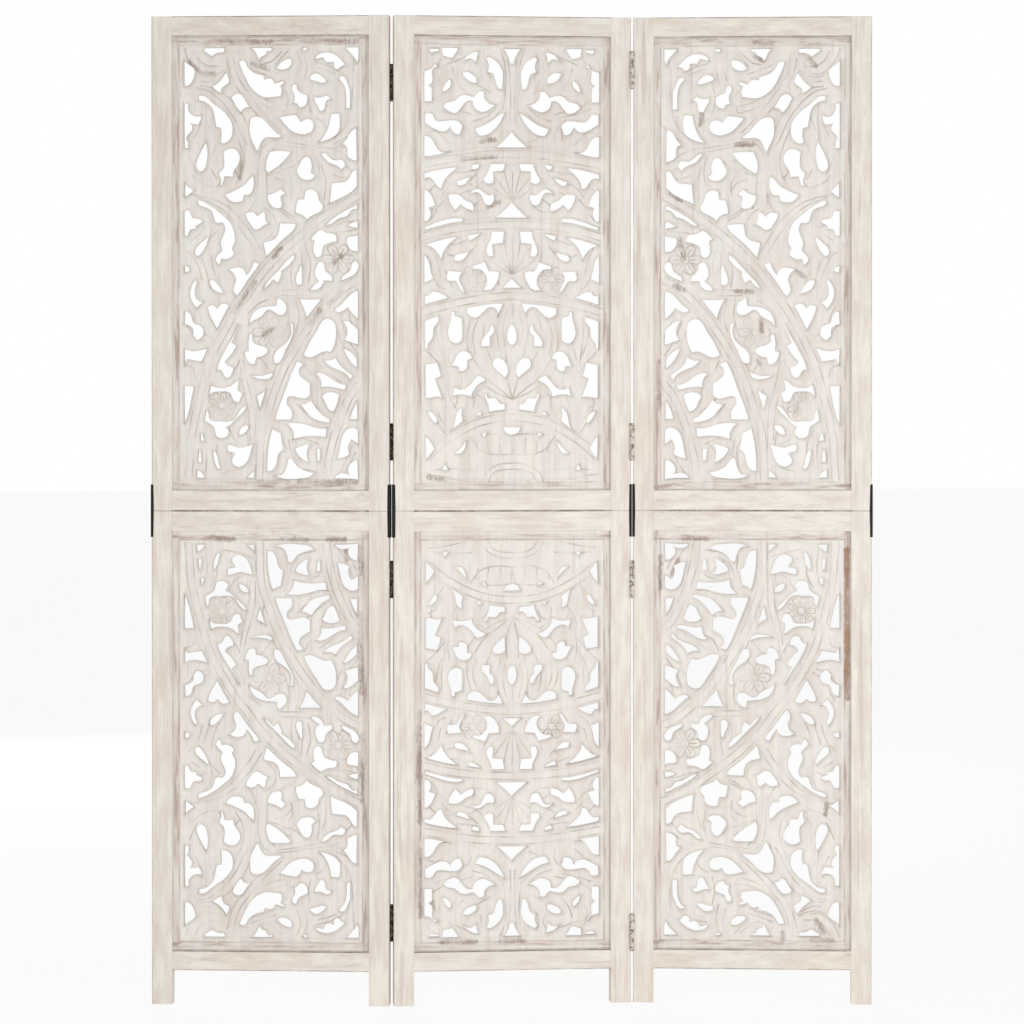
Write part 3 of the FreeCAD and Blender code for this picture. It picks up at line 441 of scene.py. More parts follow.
# %% The middle panel's drawing
MIDDLE_BANDS = [
    [(147, 578), (100, 587), (50, 594), (0, 596)], [(147, 458), (100, 470), (50, 476), (0, 478)],
    [(147, 333), (100, 346), (50, 355), (0, 360)],
    [(140, 93), (120, 112), (100, 126), (80, 138), (60, 147), (40, 153), (20, 156), (0, 157)],
]
MIDDLE_LINES = [
    [(70, 125), (62, 112), (52, 102), (36, 96), (18, 95), (0, 97)], [(62, 118), (60, 108), (58, 100)],
    [(42, 118), (40, 98)], [(22, 122), (20, 97)], [(2, 120), (1, 98)], [(52, 128), (30, 130), (0, 128)],
    [(52, 50), (46, 64), (32, 75), (16, 80), (0, 81)], [(40, 50), (36, 60), (24, 68), (0, 71)],
    [(140, 62), (110, 58), (80, 50)], [(128, 70), (100, 72), (70, 70)], [(0, 518), (0, 565)],
    [(0, 518), (8, 545), (14, 568)], [(0, 518), (16, 540), (28, 556)], [(0, 518), (20, 530), (30, 538)],
    [(0, 395), (0, 455)], [(0, 395), (9, 425), (14, 452)], [(0, 395), (18, 420), (30, 440)],
    [(0, 395), (22, 408), (36, 420)], [(0, 187), (5, 208), (12, 232), (26, 250)],
    [(0, 187), (22, 205), (45, 224), (62, 250)], [(0, 187), (30, 200), (60, 222), (80, 252)],
    [(0, 187), (10, 225), (10, 262)], [(10, 335), (16, 305), (12, 275)],
    [(22, 335), (26, 300), (20, 262)], [(0, 345), (0, 322)],
    [(40, 335), (48, 300), (42, 268), (30, 245)], [(56, 325), (66, 295), (62, 262)],
    [(70, 320), (76, 290), (74, 262)], [(88, 310), (100, 280), (108, 245), (104, 205)],
    [(118, 320), (118, 285), (112, 245)], [(130, 315), (126, 290), (118, 262)],
    [(140, 265), (126, 250), (112, 232)], [(90, 240), (84, 222), (88, 205)],
    [(60, 195), (48, 188), (42, 176)], [(70, 200), (64, 186), (66, 172)],
    [(46, 208), (58, 200), (64, 186)], [(110, 215), (104, 190), (92, 168)],
    [(96, 205), (92, 190), (96, 172)], [(140, 180), (128, 172), (118, 150)],
    [(130, 200), (136, 185), (134, 168)], [(126, 150), (120, 140), (112, 130)],
    [(60, 562), (72, 552), (92, 546), (112, 548)], [(58, 572), (74, 566), (94, 564)],
    [(128, 545), (140, 530), (146, 512)], [(70, 535), (84, 530), (92, 520)],
    [(112, 520), (124, 508), (140, 500)], [(100, 545), (112, 535), (118, 525)],
    [(50, 520), (62, 512), (70, 500)], [(126, 505), (130, 495), (138, 486)],
    [(52, 548), (60, 540), (70, 545)], [(34, 512), (44, 502), (58, 500)],
    [(60, 445), (70, 432), (88, 424), (108, 428)], [(78, 452), (92, 446), (104, 446)],
    [(136, 440), (126, 418), (120, 392)], [(142, 425), (136, 405), (136, 388)],
    [(50, 432), (46, 415), (52, 398)], [(112, 400), (104, 388), (102, 375)],
    [(128, 385), (122, 375), (112, 370)], [(38, 408), (28, 392), (22, 378)],
    [(20, 770), (12, 740), (12, 700), (16, 670)], [(8, 752), (4, 720), (3, 680), (4, 650)],
    [(40, 760), (44, 742), (36, 722)], [(60, 762), (52, 748), (54, 732)],
    [(75, 758), (90, 752), (108, 745)], [(120, 752), (126, 735), (122, 715)],
    [(100, 738), (94, 718), (82, 702)], [(66, 715), (50, 706), (36, 698)],
    [(135, 690), (118, 678), (96, 670), (70, 662)], [(130, 672), (110, 664), (84, 658)],
    [(28, 672), (44, 658), (66, 650)], [(20, 668), (34, 652), (50, 640)],
    [(90, 655), (82, 640), (84, 620)], [(110, 650), (124, 636), (142, 630)],
    [(76, 640), (70, 628), (72, 612)], [(50, 632), (40, 622), (28, 616)],
    [(140, 645), (120, 628), (104, 612)],
]
MIDDLE_FLOWERS = [(66, 388, 6, 20, 6)]
print("middle drawing:", len(MIDDLE_BANDS), "bands,", len(MIDDLE_LINES), "lines")

# %% [markdown]
# The drawing is laid on each board by sharing out the carved field, which starts a set border in from the
# board's edges.  Each band also carries two cut lines, one near either edge, drawn as offsets of its middle.

# %% Lay the drawing on a board
BORDER_SIDE = 25.5 * MM
BORDER_BELOW = {"upper": 25.7 * MM, "lower": 28.6 * MM}
BORDER_ABOVE = {"upper": 25.7 * MM, "lower": 27.9 * MM}
BAND_HALF = 11.0 * MM
BAND_LINE = 6.0 * MM
FRAME_LINE = 8.6 * MM
INNER_LINE = np.array((19.0, 22.0)) * MM
LINE_STEP, FRAME_STEP = 1.8 * MM, 3 * MM
RING_POINTS, VEIN_POINTS = 25, 8
PETAL_START, VEIN_START, VEIN_REACH = 1.25, 1.3, 0.6


def smooth_path(points):
    points = np.array(points, float)
    ends = np.vstack([2 * points[0] - points[1], points, 2 * points[-1] - points[-2]])
    path = []
    for p0, p1, p2, p3 in zip(ends, ends[1:], ends[2:], ends[3:]):
        count = max(1, math.ceil(np.linalg.norm(p2 - p1) / LINE_STEP))
        for i in range(count):
            t = i / count
            path.append(0.5 * (2 * p1 + (p2 - p0) * t + (2 * p0 - 5 * p1 + 4 * p2 - p3) * t * t
                               + (3 * p1 - p0 - 3 * p2 + p3) * t ** 3))
    return np.array(path + [points[-1]])


def beside(path, distance):
    along = np.gradient(path, axis=0)
    along /= np.linalg.norm(along, axis=1)[:, None]
    return path + distance * np.column_stack([-along[:, 1], along[:, 0]])


def flower_lines(centre, inner, outer, petals):
    def around(radii, angles):
        return np.array([centre + r * np.array((math.cos(a), math.sin(a))) for r, a in zip(radii, angles)])

    ring = np.linspace(0, 2 * math.pi, RING_POINTS)
    across = np.linspace(-1, 1, RING_POINTS)
    reach, tips = outer - inner, [2 * k * math.pi / petals for k in range(petals)]
    petal = inner * PETAL_START + reach * (1 - np.abs(across) ** 3)
    outlines = [around(petal, tip + across * math.pi / petals) for tip in tips]
    vein = np.linspace(inner * VEIN_START, inner + reach * VEIN_REACH, VEIN_POINTS)
    veins = [around(vein, [tip] * VEIN_POINTS) for tip in tips]
    return [around([inner] * RING_POINTS, ring)] + outlines + veins


def rectangle(half):
    corners = np.array([(-1, -1), (1, -1), (1, 1), (-1, 1)]) * half
    path = resampled(corners, FRAME_STEP)
    return np.vstack([path, path[:1]])


def field_of(name, board):
    tier = name.split("_")[1]
    low, high = BORDER_BELOW[tier] - board["half"][1], board["half"][1] - BORDER_ABOVE[tier]
    return board["half"][0] - BORDER_SIDE, low, high


def sheet_to_board(name, board, point):
    panel, tier = name.split("_")[:2]
    column, row = point
    if panel == "middle":
        out = -column / SHEET_HALF
    else:
        out = 2 * (column - SHEET_LEFT) / (SHEET_RIGHT - SHEET_LEFT) - 1
    out = -out if panel == "right" else out
    share = (row - SHEET_BOTTOM) / (SHEET_TOP - SHEET_BOTTOM)
    share = share if tier == "upper" else 1 - share
    half_width, low, high = field_of(name, board)
    return np.array((out * half_width, low + share * (high - low)))


def drawing_of(name, board):
    side_panel = not name.startswith("middle")

    def on_board(point):
        return sheet_to_board(name, board, point)

    bands = SIDE_BANDS if side_panel else MIDDLE_BANDS
    lines = SIDE_LINES if side_panel else MIDDLE_LINES
    flowers = SIDE_FLOWERS if side_panel else MIDDLE_FLOWERS
    bands = [smooth_path([on_board(p) for p in band]) for band in bands]
    cuts = [smooth_path([on_board(p) for p in line]) for line in lines]
    for band in bands:
        cuts += [beside(band, BAND_LINE), beside(band, -BAND_LINE)]
    for column, row, inner, outer, petals in flowers:
        cuts += flower_lines(on_board((column, row)), inner * MM, outer * MM, petals)
    if not side_panel:
        mirror = np.array((-1, 1))
        bands, cuts = bands + [b * mirror for b in bands], cuts + [c * mirror for c in cuts]
    cuts.append(rectangle(board["half"] - INNER_LINE))
    return bands, cuts


for name, board in BOARDS.items():
    board["bands"], board["cuts"] = drawing_of(name, board)
    print(name, "cut lines", len(board["cuts"]))

# %% [markdown]
# A cut line is only crisp if the mesh has points along it.  So each board's front starts as a flat sheet of
# triangles whose corners follow the openings, two rings just inside their edges, every cut line and its two
# shoulders, with an even scatter of points between.  Blender's own triangulation joins them up.

# %% Triangulate the flat front of a board
GRID = 3.2 * MM
GRID_ROW = GRID * 0.866
CUT_HALF = 1.6 * MM
RIM_INSETS, RING_CLEAR = (1.2 * MM, 2.8 * MM), 0.9
SAME_POINT = 1e-7
CLEAR_OF_LINES, CLEAR_OF_ALL = 0.9 * MM, 1.6 * MM


def inside(points, loop):
    low, high = loop.min(0), loop.max(0)
    near = np.all((points > low) & (points < high), axis=1)
    result = np.zeros(len(points), bool)
    x, y = points[near, 0][:, None], points[near, 1][:, None]
    x1, y1 = loop.T
    x2, y2 = np.roll(loop, -1, axis=0).T
    with np.errstate(divide="ignore", invalid="ignore"):
        crossed = ((y1 > y) != (y2 > y)) & (x < (x2 - x1) * (y - y1) / (y2 - y1) + x1)
    result[near] = crossed.sum(1) % 2 == 1
    return result


def in_wood(points, loops):
    result = inside(points, loops[0])
    for loop in loops[1:]:
        result &= ~inside(points, loop)
    return result


def far_enough(points, others, distance):
    tree = KDTree(len(others))
    for i, p in enumerate(others):
        tree.insert((p[0], p[1], 0), i)
    tree.balance()
    keep = [tree.find((p[0], p[1], 0))[2] > distance for p in points]
    return points[np.array(keep, bool)]


def chain(points, first, closed):
    count = len(points)
    return [(first + i, first + (i + 1) % count) for i in range(count if closed else count - 1)]


def joined(paths, closed):
    points, edges = [], []
    for path in paths:
        edges += chain(path, len(points), closed)
        points += list(path)
    return points, edges


def triangulated(fixed, edges, loose, loops):
    everything = [Vector(p) for p in fixed] + [Vector(p) for p in loose]
    points, _, faces, _, _, _ = delaunay_2d_cdt(everything, edges, [], 0, SAME_POINT)
    points = np.array([tuple(p) for p in points])
    faces = np.array(faces)
    return points, faces[in_wood(points[faces].mean(1), loops)]


def flat_front(board):
    loops = board["loops"]
    fixed, edges = joined(loops, True)
    rim = np.array(fixed)
    shoulders = [np.vstack([beside(cut, CUT_HALF), beside(cut, -CUT_HALF)]) for cut in board["cuts"]]
    for cut in board["cuts"]:
        kept = in_wood(cut, loops)
        for start in range(len(cut) - 1):
            if kept[start] and kept[start + 1]:
                edges.append((len(fixed), len(fixed) + 1))
                fixed += [cut[start], cut[start + 1]]
    lines = np.array(fixed[len(rim):])
    rings = []
    for loop in loops:
        for inset in RIM_INSETS:
            for way in (1, -1):
                ring = beside(loop, way * inset)
                rings.append(far_enough(ring, rim, inset * RING_CLEAR))
    loose = np.vstack(rings + shoulders)
    loose = loose[in_wood(loose, loops)]
    loose = far_enough(far_enough(loose, rim, CLEAR_OF_LINES), lines, CLEAR_OF_LINES)
    half = board["half"]
    rows, columns = np.arange(-half[1], half[1], GRID_ROW), np.arange(-half[0], half[0], GRID)
    grid = np.array([(x + GRID / 2 * (k % 2), z) for k, z in enumerate(rows) for x in columns])
    grid = grid[in_wood(grid, loops)]
    grid = far_enough(grid, np.vstack([rim, lines, loose]), CLEAR_OF_ALL)
    return triangulated(fixed, edges, np.vstack([loose, grid]), loops)


def new_mesh_object(name, verts, edges, faces):
    mesh = bpy.data.meshes.new(name)
    mesh.from_pydata([tuple(v) for v in verts], edges, [tuple(int(i) for i in f) for f in faces])
    piece = bpy.data.objects.new(name, mesh)
    scene.collection.objects.link(piece)
    return piece


def upright(points, depth=0.0):
    return np.column_stack([points[:, 0], np.full(len(points), depth), points[:, 1]])


def path_object(name, paths, closed):
    points, edges = joined(paths, closed)
    return new_mesh_object(name, upright(np.array(points).reshape(-1, 2)), edges, [])


for name, board in BOARDS.items():
    points, faces = flat_front(board)
    board["front"] = new_mesh_object(name + "_front", upright(points), [], faces[:, ::-1])
    print(name, "front sheet:", len(points), "points,", len(faces), "triangles")

# %% [markdown]
# The same squared sheet tells where the wash is worn thin, and the one strip of border where it is gone and
# the brown wood shows.  Here each board has its own marks, because wear has no mirror image.

# %% The worn places
WORN = {
    "left_upper": [
        [(90, 781), (118, 782)], [(133, 782), (197, 781)], [(250, 782), (340, 781)],
        [(178, 50), (225, 50)], [(245, 50), (338, 49)], [(140, 332), (156, 360), (172, 382)],
        [(203, 424), (214, 438)], [(264, 312), (278, 336)], [(294, 346), (312, 366)],
        [(168, 745), (192, 738)], [(300, 414), (314, 426)], [(186, 294), (200, 304)],
        [(150, 585), (146, 555)], [(64, 748), (84, 730), (106, 728)],
    ],
    "right_upper": [
        [(309, 421), (310, 432)], [(314, 440), (313, 456)], [(181, 300), (183, 318)],
        [(184, 246), (188, 252)], [(281, 646), (280, 662)], [(222, 612), (196, 612)],
        [(224, 367), (196, 367)], [(329, 532), (314, 520)], [(324, 377), (310, 369)],
        [(122, 398), (112, 391)], [(104, 754), (94, 742)], [(192, 758), (180, 752)],
        [(195, 781), (165, 781)], [(350, 172), (350, 250)],
    ],
    "left_lower": [
        [(90, 45), (136, 46)], [(215, 45), (256, 46)], [(290, 46), (318, 46)], [(320, 66), (322, 84)],
        [(345, 60), (345, 108)], [(345, 180), (346, 325)], [(347, 400), (347, 520)],
    ],
    "right_lower": [
        [(270, 46), (310, 45)], [(318, 86), (326, 112)], [(100, 776), (66, 778)],
        [(92, 742), (80, 765)], [(75, 530), (77, 548)], [(347, 78), (347, 136)],
        [(147, 766), (147, 778)],
    ],
    "middle_upper": [
        [(30, 620), (52, 616)], [(84, 587), (28, 591)], [(22, 516), (40, 508)], [(140, 58), (110, 52)],
    ],
    "middle_lower": [
        [(134, 706), (132, 718)], [(60, 779), (120, 779)], [(20, 779), (-20, 779)],
        [(156, 360), (155, 560)], [(154, 610), (153, 732)],
    ],
}
BARE = {"right_lower": [[(43, 66), (43, 205), (42, 335)]]}
print("worn places:", {place: len(lines) for place, lines in WORN.items()})

# %% [markdown]
# The carving itself is a rule, so Geometry Nodes cut it.  For every point of the flat sheet the tree measures
# how far the nearest opening, cut line and band are, and pushes the point back by that much: edges roll over,
# cut lines become small valleys, and the ground beside a band lies lower than the band.  The measures are
# stored for the wood's shader too.

# %% The carving tree
UNEVEN_DEPTH, STRIP_DEPTH = 1.6 * MM, 0.7 * MM
PRESSURE_SIZE, UNEVEN_SIZE = 40 * MM, 22 * MM
FIELD_FADE, BAND_FADE = 2.0 * MM, 1.5 * MM
SIDE_STRIP, END_STRIP = -10.5 * MM, -10.0 * MM
STRIP_HALF, STRIP_FADE = 3.0 * MM, 6.5 * MM
WORN_HALF, WORN_FADE, BARE_FADE = 1.0 * MM, 9.0 * MM, 11.0 * MM
GUIDES = ("Openings", "Cuts", "Bands", "Worn places", "Bare places", "Frame line")
CARVE_SIZES = {
    "Edge reach": 6.5 * MM, "Edge drop": 3.0 * MM, "Cut half width": CUT_HALF, "Cut depth": 1.3 * MM,
    "Band half width": BAND_HALF, "Ground depth": 1.2 * MM,
    "Field half width": 0.0, "Field bottom": 0.0, "Field top": 0.0,
}


def carving_tree():
    tree = bpy.data.node_groups.new("carving", "GeometryNodeTree")

    def new_input(label, kind):
        return tree.interface.new_socket(label, in_out="INPUT", socket_type="NodeSocket" + kind)

    new_input("Sheet", "Geometry")
    for label in GUIDES:
        new_input(label, "Object")
    for label, size in CARVE_SIZES.items():
        new_input(label, "Float").default_value = size
    new_input("Wood", "Material")
    tree.interface.new_socket("Carved", in_out="OUTPUT", socket_type="NodeSocketGeometry")
    given = add_node(tree, "NodeGroupInput").outputs

    def less(first, second, clamp=False):
        return math_of(tree, "SUBTRACT", first, second, clamp=clamp)

    def times(first, second):
        return math_of(tree, "MULTIPLY", first, second)

    def nearest(label):
        shape = add_node(tree, "GeometryNodeObjectInfo", {"Object": given[label]}).outputs["Geometry"]
        return add_node(tree, "GeometryNodeProximity", {0: shape}, target_element="EDGES").outputs

    def valley(label):
        share = math_of(tree, "DIVIDE", nearest(label)["Distance"], given["Cut half width"])
        return less(1.0, share, clamp=True)

    def close_to(label, full, none):
        found = nearest(label)
        return times(less(1.0, ramp_of(tree, found["Distance"], full, none)), found["Is Valid"])

    def strip_at(room, middle):
        off = math_of(tree, "ABSOLUTE", less(room, middle))
        return less(1.0, ramp_of(tree, off, STRIP_HALF, STRIP_FADE))

    position = add_node(tree, "GeometryNodeInputPosition").outputs[0]
    axes = add_node(tree, "ShaderNodeSeparateXYZ", {0: position}).outputs
    room_x = less(given["Field half width"], math_of(tree, "ABSOLUTE", axes["X"]))
    room_below, room_above = less(axes["Z"], given["Field bottom"]), less(given["Field top"], axes["Z"])
    room_z = math_of(tree, "MINIMUM", room_below, room_above)
    field = ramp_of(tree, math_of(tree, "MINIMUM", room_x, room_z), 0.0, FIELD_FADE)
    far_share = math_of(tree, "DIVIDE", nearest("Openings")["Distance"], given["Edge reach"], clamp=True)
    edge = math_of(tree, "POWER", less(1.0, far_share), 2.0)
    pressure = ramp_of(tree, noise_of(tree, position, PRESSURE_SIZE, 2.0, 0.5), 0.36, 0.64)
    cut = times(valley("Cuts"), math_of(tree, "MULTIPLY_ADD", pressure, 0.75, 0.25))
    # the frame line beside the stile is a valley too; the wood's shader darkens it with painted shade of the
    # step there
    cut = math_of(tree, "MAXIMUM", cut, valley("Frame line"))
    beyond = less(nearest("Bands")["Distance"], given["Band half width"])
    ground = times(ramp_of(tree, beyond, 0.0, BAND_FADE), field)
    uneven = times(noise_of(tree, position, UNEVEN_SIZE, 2.0, 0.5), field)
    side_strip, end_strip = strip_at(room_x, SIDE_STRIP), strip_at(room_z, END_STRIP)
    depth = times(edge, given["Edge drop"])
    for share, full_depth in ((cut, given["Cut depth"]), (ground, given["Ground depth"]),
                              (uneven, UNEVEN_DEPTH), (side_strip, STRIP_DEPTH), (end_strip, STRIP_DEPTH)):
        depth = math_of(tree, "MULTIPLY_ADD", share, full_depth, depth)
    push = add_node(tree, "ShaderNodeCombineXYZ", {"Y": depth}).outputs[0]
    measures = {"edge": edge, "cut_line": cut, "worn": close_to("Worn places", WORN_HALF, WORN_FADE),
                "bare_wood": close_to("Bare places", WORN_HALF, BARE_FADE),
                "side_strip": side_strip, "end_strip": end_strip}
    sheet = given["Sheet"]
    for label, value in measures.items():
        sheet = add_node(tree, "GeometryNodeStoreNamedAttribute",
                         {"Geometry": sheet, "Name": label, "Value": value},
                         data_type="FLOAT", domain="POINT").outputs[0]
    moved = add_node(tree, "GeometryNodeSetPosition", {"Geometry": sheet, "Offset": push}).outputs[0]
    real = add_node(tree, "GeometryNodeRealizeInstances", {0: moved}).outputs[0]
    dressed = add_node(tree, "GeometryNodeSetMaterial",
                       {"Geometry": real, "Material": given["Wood"]}).outputs[0]
    add_node(tree, "NodeGroupOutput", {0: dressed})
    return tree


carving = carving_tree()
print("carving tree:", len(carving.nodes), "nodes")

# %% [markdown]
# A tree is run by hanging it on a piece as a modifier, filling its inputs by their own labels, and keeping
# the result as a plain mesh.  The guide lines have done their work then, and are thrown away.

# %% Run the tree on each board
def run_tree(piece, tree, values):
    modifier = piece.modifiers.new("made", "NODES")
    modifier.node_group = tree
    inputs = [item for item in tree.interface.items_tree if item.in_out == "INPUT"]
    sockets = {item.name: item.identifier for item in inputs}
    for label, value in values.items():
        modifier[sockets[label]] = value
    bpy.context.view_layer.update()
    shown = piece.evaluated_get(bpy.context.evaluated_depsgraph_get())
    mesh = bpy.data.meshes.new_from_object(shown)
    piece.modifiers.remove(modifier)
    return mesh


def discard(*pieces):
    for piece in pieces:
        mesh = piece.data
        bpy.data.objects.remove(piece)
        bpy.data.meshes.remove(mesh)


def carve(name, board):
    place = "_".join(name.split("_")[:2])

    def on_board(lines):
        return [np.array([sheet_to_board(name, board, p) for p in line]) for line in lines]

    guides = {
        "Openings": path_object("openings", board["loops"][1:], True),
        "Cuts": path_object("cuts", board["cuts"], False),
        "Bands": path_object("bands", board["bands"], False),
        "Worn places": path_object("worn", on_board(WORN[place]), False),
        "Bare places": path_object("bare", on_board(BARE.get(place, [])), False),
        "Frame line": path_object("frame_line", [rectangle(board["half"] - FRAME_LINE)], False),
    }
    half_width, low, high = field_of(name, board)
    mesh = run_tree(board["front"], carving, {
        **guides, "Field half width": float(half_width), "Field bottom": float(low), "Field top": float(high),
        "Wood": carved_wood})
    discard(*guides.values(), board["front"])
    return mesh


for name, board in BOARDS.items():
    board["mesh"] = carve(name, board)
    depths = [v.co.y for v in board["mesh"].vertices]
    print(name, "carved to", round(max(depths) / MM, 2), "mm deep")

# %% [markdown]
# The sheet becomes a solid board: its rims are pulled straight back through the wood, and a plain sheet with
# the same openings closes the back, where the measures of the carving are set to zero.  Then the board is
# turned and moved to its panel, and rides with it.

# %% Close the boards and set them in their panels
BACK_NEAR, BACK_WELD = 0.01 * MM, 0.005 * MM
SHARP_FROM = math.radians(38)


def set_piece(name, mesh, node_name):
    piece = bpy.data.objects.new(name, mesh)
    scene.collection.objects.link(piece)
    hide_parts(node_name)
    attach(piece, frame["nodes"][node_name]["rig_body"])
    return piece


def solid_board(name, board):
    mesh, thickness = board["mesh"], board["thickness"]
    bm = bmesh.new()
    bm.from_mesh(mesh)

    def at_back():
        return [v for v in bm.verts if v.co.y > thickness - BACK_NEAR]

    rims = [e for e in bm.edges if e.is_boundary]
    pulled = bmesh.ops.extrude_edge_only(bm, edges=rims)["geom"]
    for vert in (g for g in pulled if isinstance(g, bmesh.types.BMVert)):
        vert.co.y = thickness
    points, faces = triangulated(*joined(board["loops"], True), [], board["loops"])
    back = [bm.verts.new(p) for p in upright(points, thickness)]
    for face in faces:
        bm.faces.new([back[i] for i in face])
    bmesh.ops.remove_doubles(bm, verts=at_back(), dist=BACK_WELD)
    bmesh.ops.recalc_face_normals(bm, faces=bm.faces)
    plain_back = at_back()
    for layer in bm.verts.layers.float.values():
        for vert in plain_back:
            vert[layer] = 0.0
    for face in bm.faces:
        face.smooth = True
    bm.to_mesh(mesh)
    bm.free()
    mesh.transform(board["place"])
    mesh.set_sharp_from_angle(angle=SHARP_FROM)
    return set_piece(name + "_relief", mesh, name)


for name, board in BOARDS.items():
    made = solid_board(name, board)
    print(made.name, "faces", len(made.data.polygons))

# %% [markdown]
# Stiles and rails keep their CAD shape, mortises and hinge beds included.  A copy of each mesh is welded, and
# its long edges are rounded a little; the narrow faces of the outer rounding get the rubbed finish, where the
# wash has worn.  On the rails this finish is darker: wear, and painted shade of the groove that the two
# roundings make where the tiers meet.

# %% Ease the edges of stiles and rails
OUTER_EASE, INNER_EASE, SHORTEST_EASED = 1.6 * MM, 0.5 * MM, 12 * MM
OUTER_HALF, AT_SEAM = 2 * MM, 0.1 * MM
FLAT_WITHIN, CORNER_FROM = math.radians(0.5), math.radians(40)


def outward(node_name):
    if node_name.endswith("stile"):
        return Vector((1 if "_right_stile" in node_name else -1, 0, 0))
    return Vector((0, 0, 1 if "_top_rail" in node_name else -1))


def eased(node_name, flat_wood, edge_wood):
    bm = welded(node_name)
    bmesh.ops.dissolve_limit(bm, angle_limit=FLAT_WITHIN, verts=bm.verts, edges=bm.edges)
    low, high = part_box(node_name)
    middle, way = (low + high) / 2, outward(node_name)
    seam = high.z if "_lower_" in node_name else low.z

    def is_outer(edge):
        at = (edge.verts[0].co + edge.verts[1].co) / 2
        at_seam = max(abs(v.co.z - seam) for v in edge.verts) < AT_SEAM
        return (at - middle).dot(way) > OUTER_HALF or at_seam

    def is_corner(edge):
        return (len(edge.link_faces) == 2 and edge.calc_length() > SHORTEST_EASED and edge.is_convex
                and edge.calc_face_angle() > CORNER_FROM)

    for radius, wanted, slot in ((OUTER_EASE, True, 1), (INNER_EASE, False, 0)):
        chosen = [e for e in bm.edges if is_corner(e) and is_outer(e) == wanted]
        bmesh.ops.bevel(bm, geom=chosen, offset=radius, segments=2, profile=0.5, affect="EDGES",
                        material=slot, clamp_overlap=True)
    mesh = bpy.data.meshes.new(node_name + "_eased")
    bm.to_mesh(mesh)
    bm.free()
    mesh.materials.append(flat_wood)
    mesh.materials.append(edge_wood)
    return set_piece(node_name + "_eased", mesh, node_name)


members = []
for node_name in sorted(frame["nodes"]):
    if node_name.endswith("_stile"):
        members.append(eased(node_name, stile_wood, rubbed_stile_edge))
    elif node_name.endswith("_rail"):
        members.append(eased(node_name, rail_wood, rubbed_and_shaded_rail_edge))
print("eased members:", len(members))

# %% [markdown]
# The plates, leaves and pins are small, and their CAD forms are the real ones, so they stay and only take a
# finish.

# %% Finish the steel
def steel_of(node_name):
    if node_name.startswith("right_fold_hinge") or node_name == "right_hinge_screws":
        return washed_steel
    return plate_steel if "joiner" in node_name else hinge_steel_painted_glints


plain_steel = [n for n in sorted(frame["nodes"]) if n.endswith(("_leaf", "_plate", "_pins"))]
for node_name in plain_steel:
    mesh = frame["nodes"][node_name].data
    mesh.materials.clear()
    mesh.materials.append(steel_of(node_name))
print("steel nodes finished:", len(plain_steel))

# %% [markdown]
# The screws all have a slot across the head, so one screw is modelled and a tree sets a copy at every place.
# The places are read from the CAD groups: each loose solid is a screw, and its wide end is the head.

# %% Read the screws' places
HEAD_SHARE = 0.8


def loose_solids(node_name):
    bm = welded(node_name)
    seen, solids = set(), []
    for first in bm.verts:
        if first in seen:
            continue
        seen.add(first)
        solid = [first]
        for vert in solid:
            for edge in vert.link_edges:
                other = edge.other_vert(vert)
                if other not in seen:
                    seen.add(other)
                    solid.append(other)
        solids.append(np.array([tuple(v.co) for v in solid]))
    bm.free()
    return solids


def screw_place(points):
    middle = (points.min(0) + points.max(0)) / 2
    facing = np.linalg.svd(points - points.mean(0))[2][0]
    along = (points - middle) @ facing
    around = np.linalg.norm(points - middle - np.outer(along, facing), axis=1)
    if along[around.argmax()] < 0:
        facing, along = -facing, -along
    wide = around > HEAD_SHARE * around.max()
    sizes = {"Head radius": around.max(), "Head height": np.ptp(along[wide]),
             "Shank radius": around[~wide].max(), "Length": np.ptp(along)}
    return middle + facing * along.max(), facing, sizes


screw_nodes = [n for n in sorted(frame["nodes"]) if n.endswith("_screws")]
SCREWS = {n: [screw_place(solid) for solid in loose_solids(n)] for n in screw_nodes}
for node_name, places in SCREWS.items():
    print(node_name, len(places), {k: round(float(v) / MM, 2) for k, v in places[0][2].items()})

# %% [markdown]
# A screw is turned from a profile, and its slot is cut by two planes and sunk.  Its sizes are shares of the
# CAD screw's own.  As in any old screen the slots stand at odd angles, so the tree turns each copy by a
# random amount.

# %% Model one slotted screw, and set it at every place
SCREW_SIDES = 20
POINT_SHARE, CROWN_SHARE, CROWN_START_SHARE, CROWN_TOP_SHARE = 0.6, 0.75, 0.3, 0.05
SLOT_HALF_SHARE, SLOT_DEPTH_SHARE, SLOT_FACE_SHARE = 0.15, 0.5, 0.2


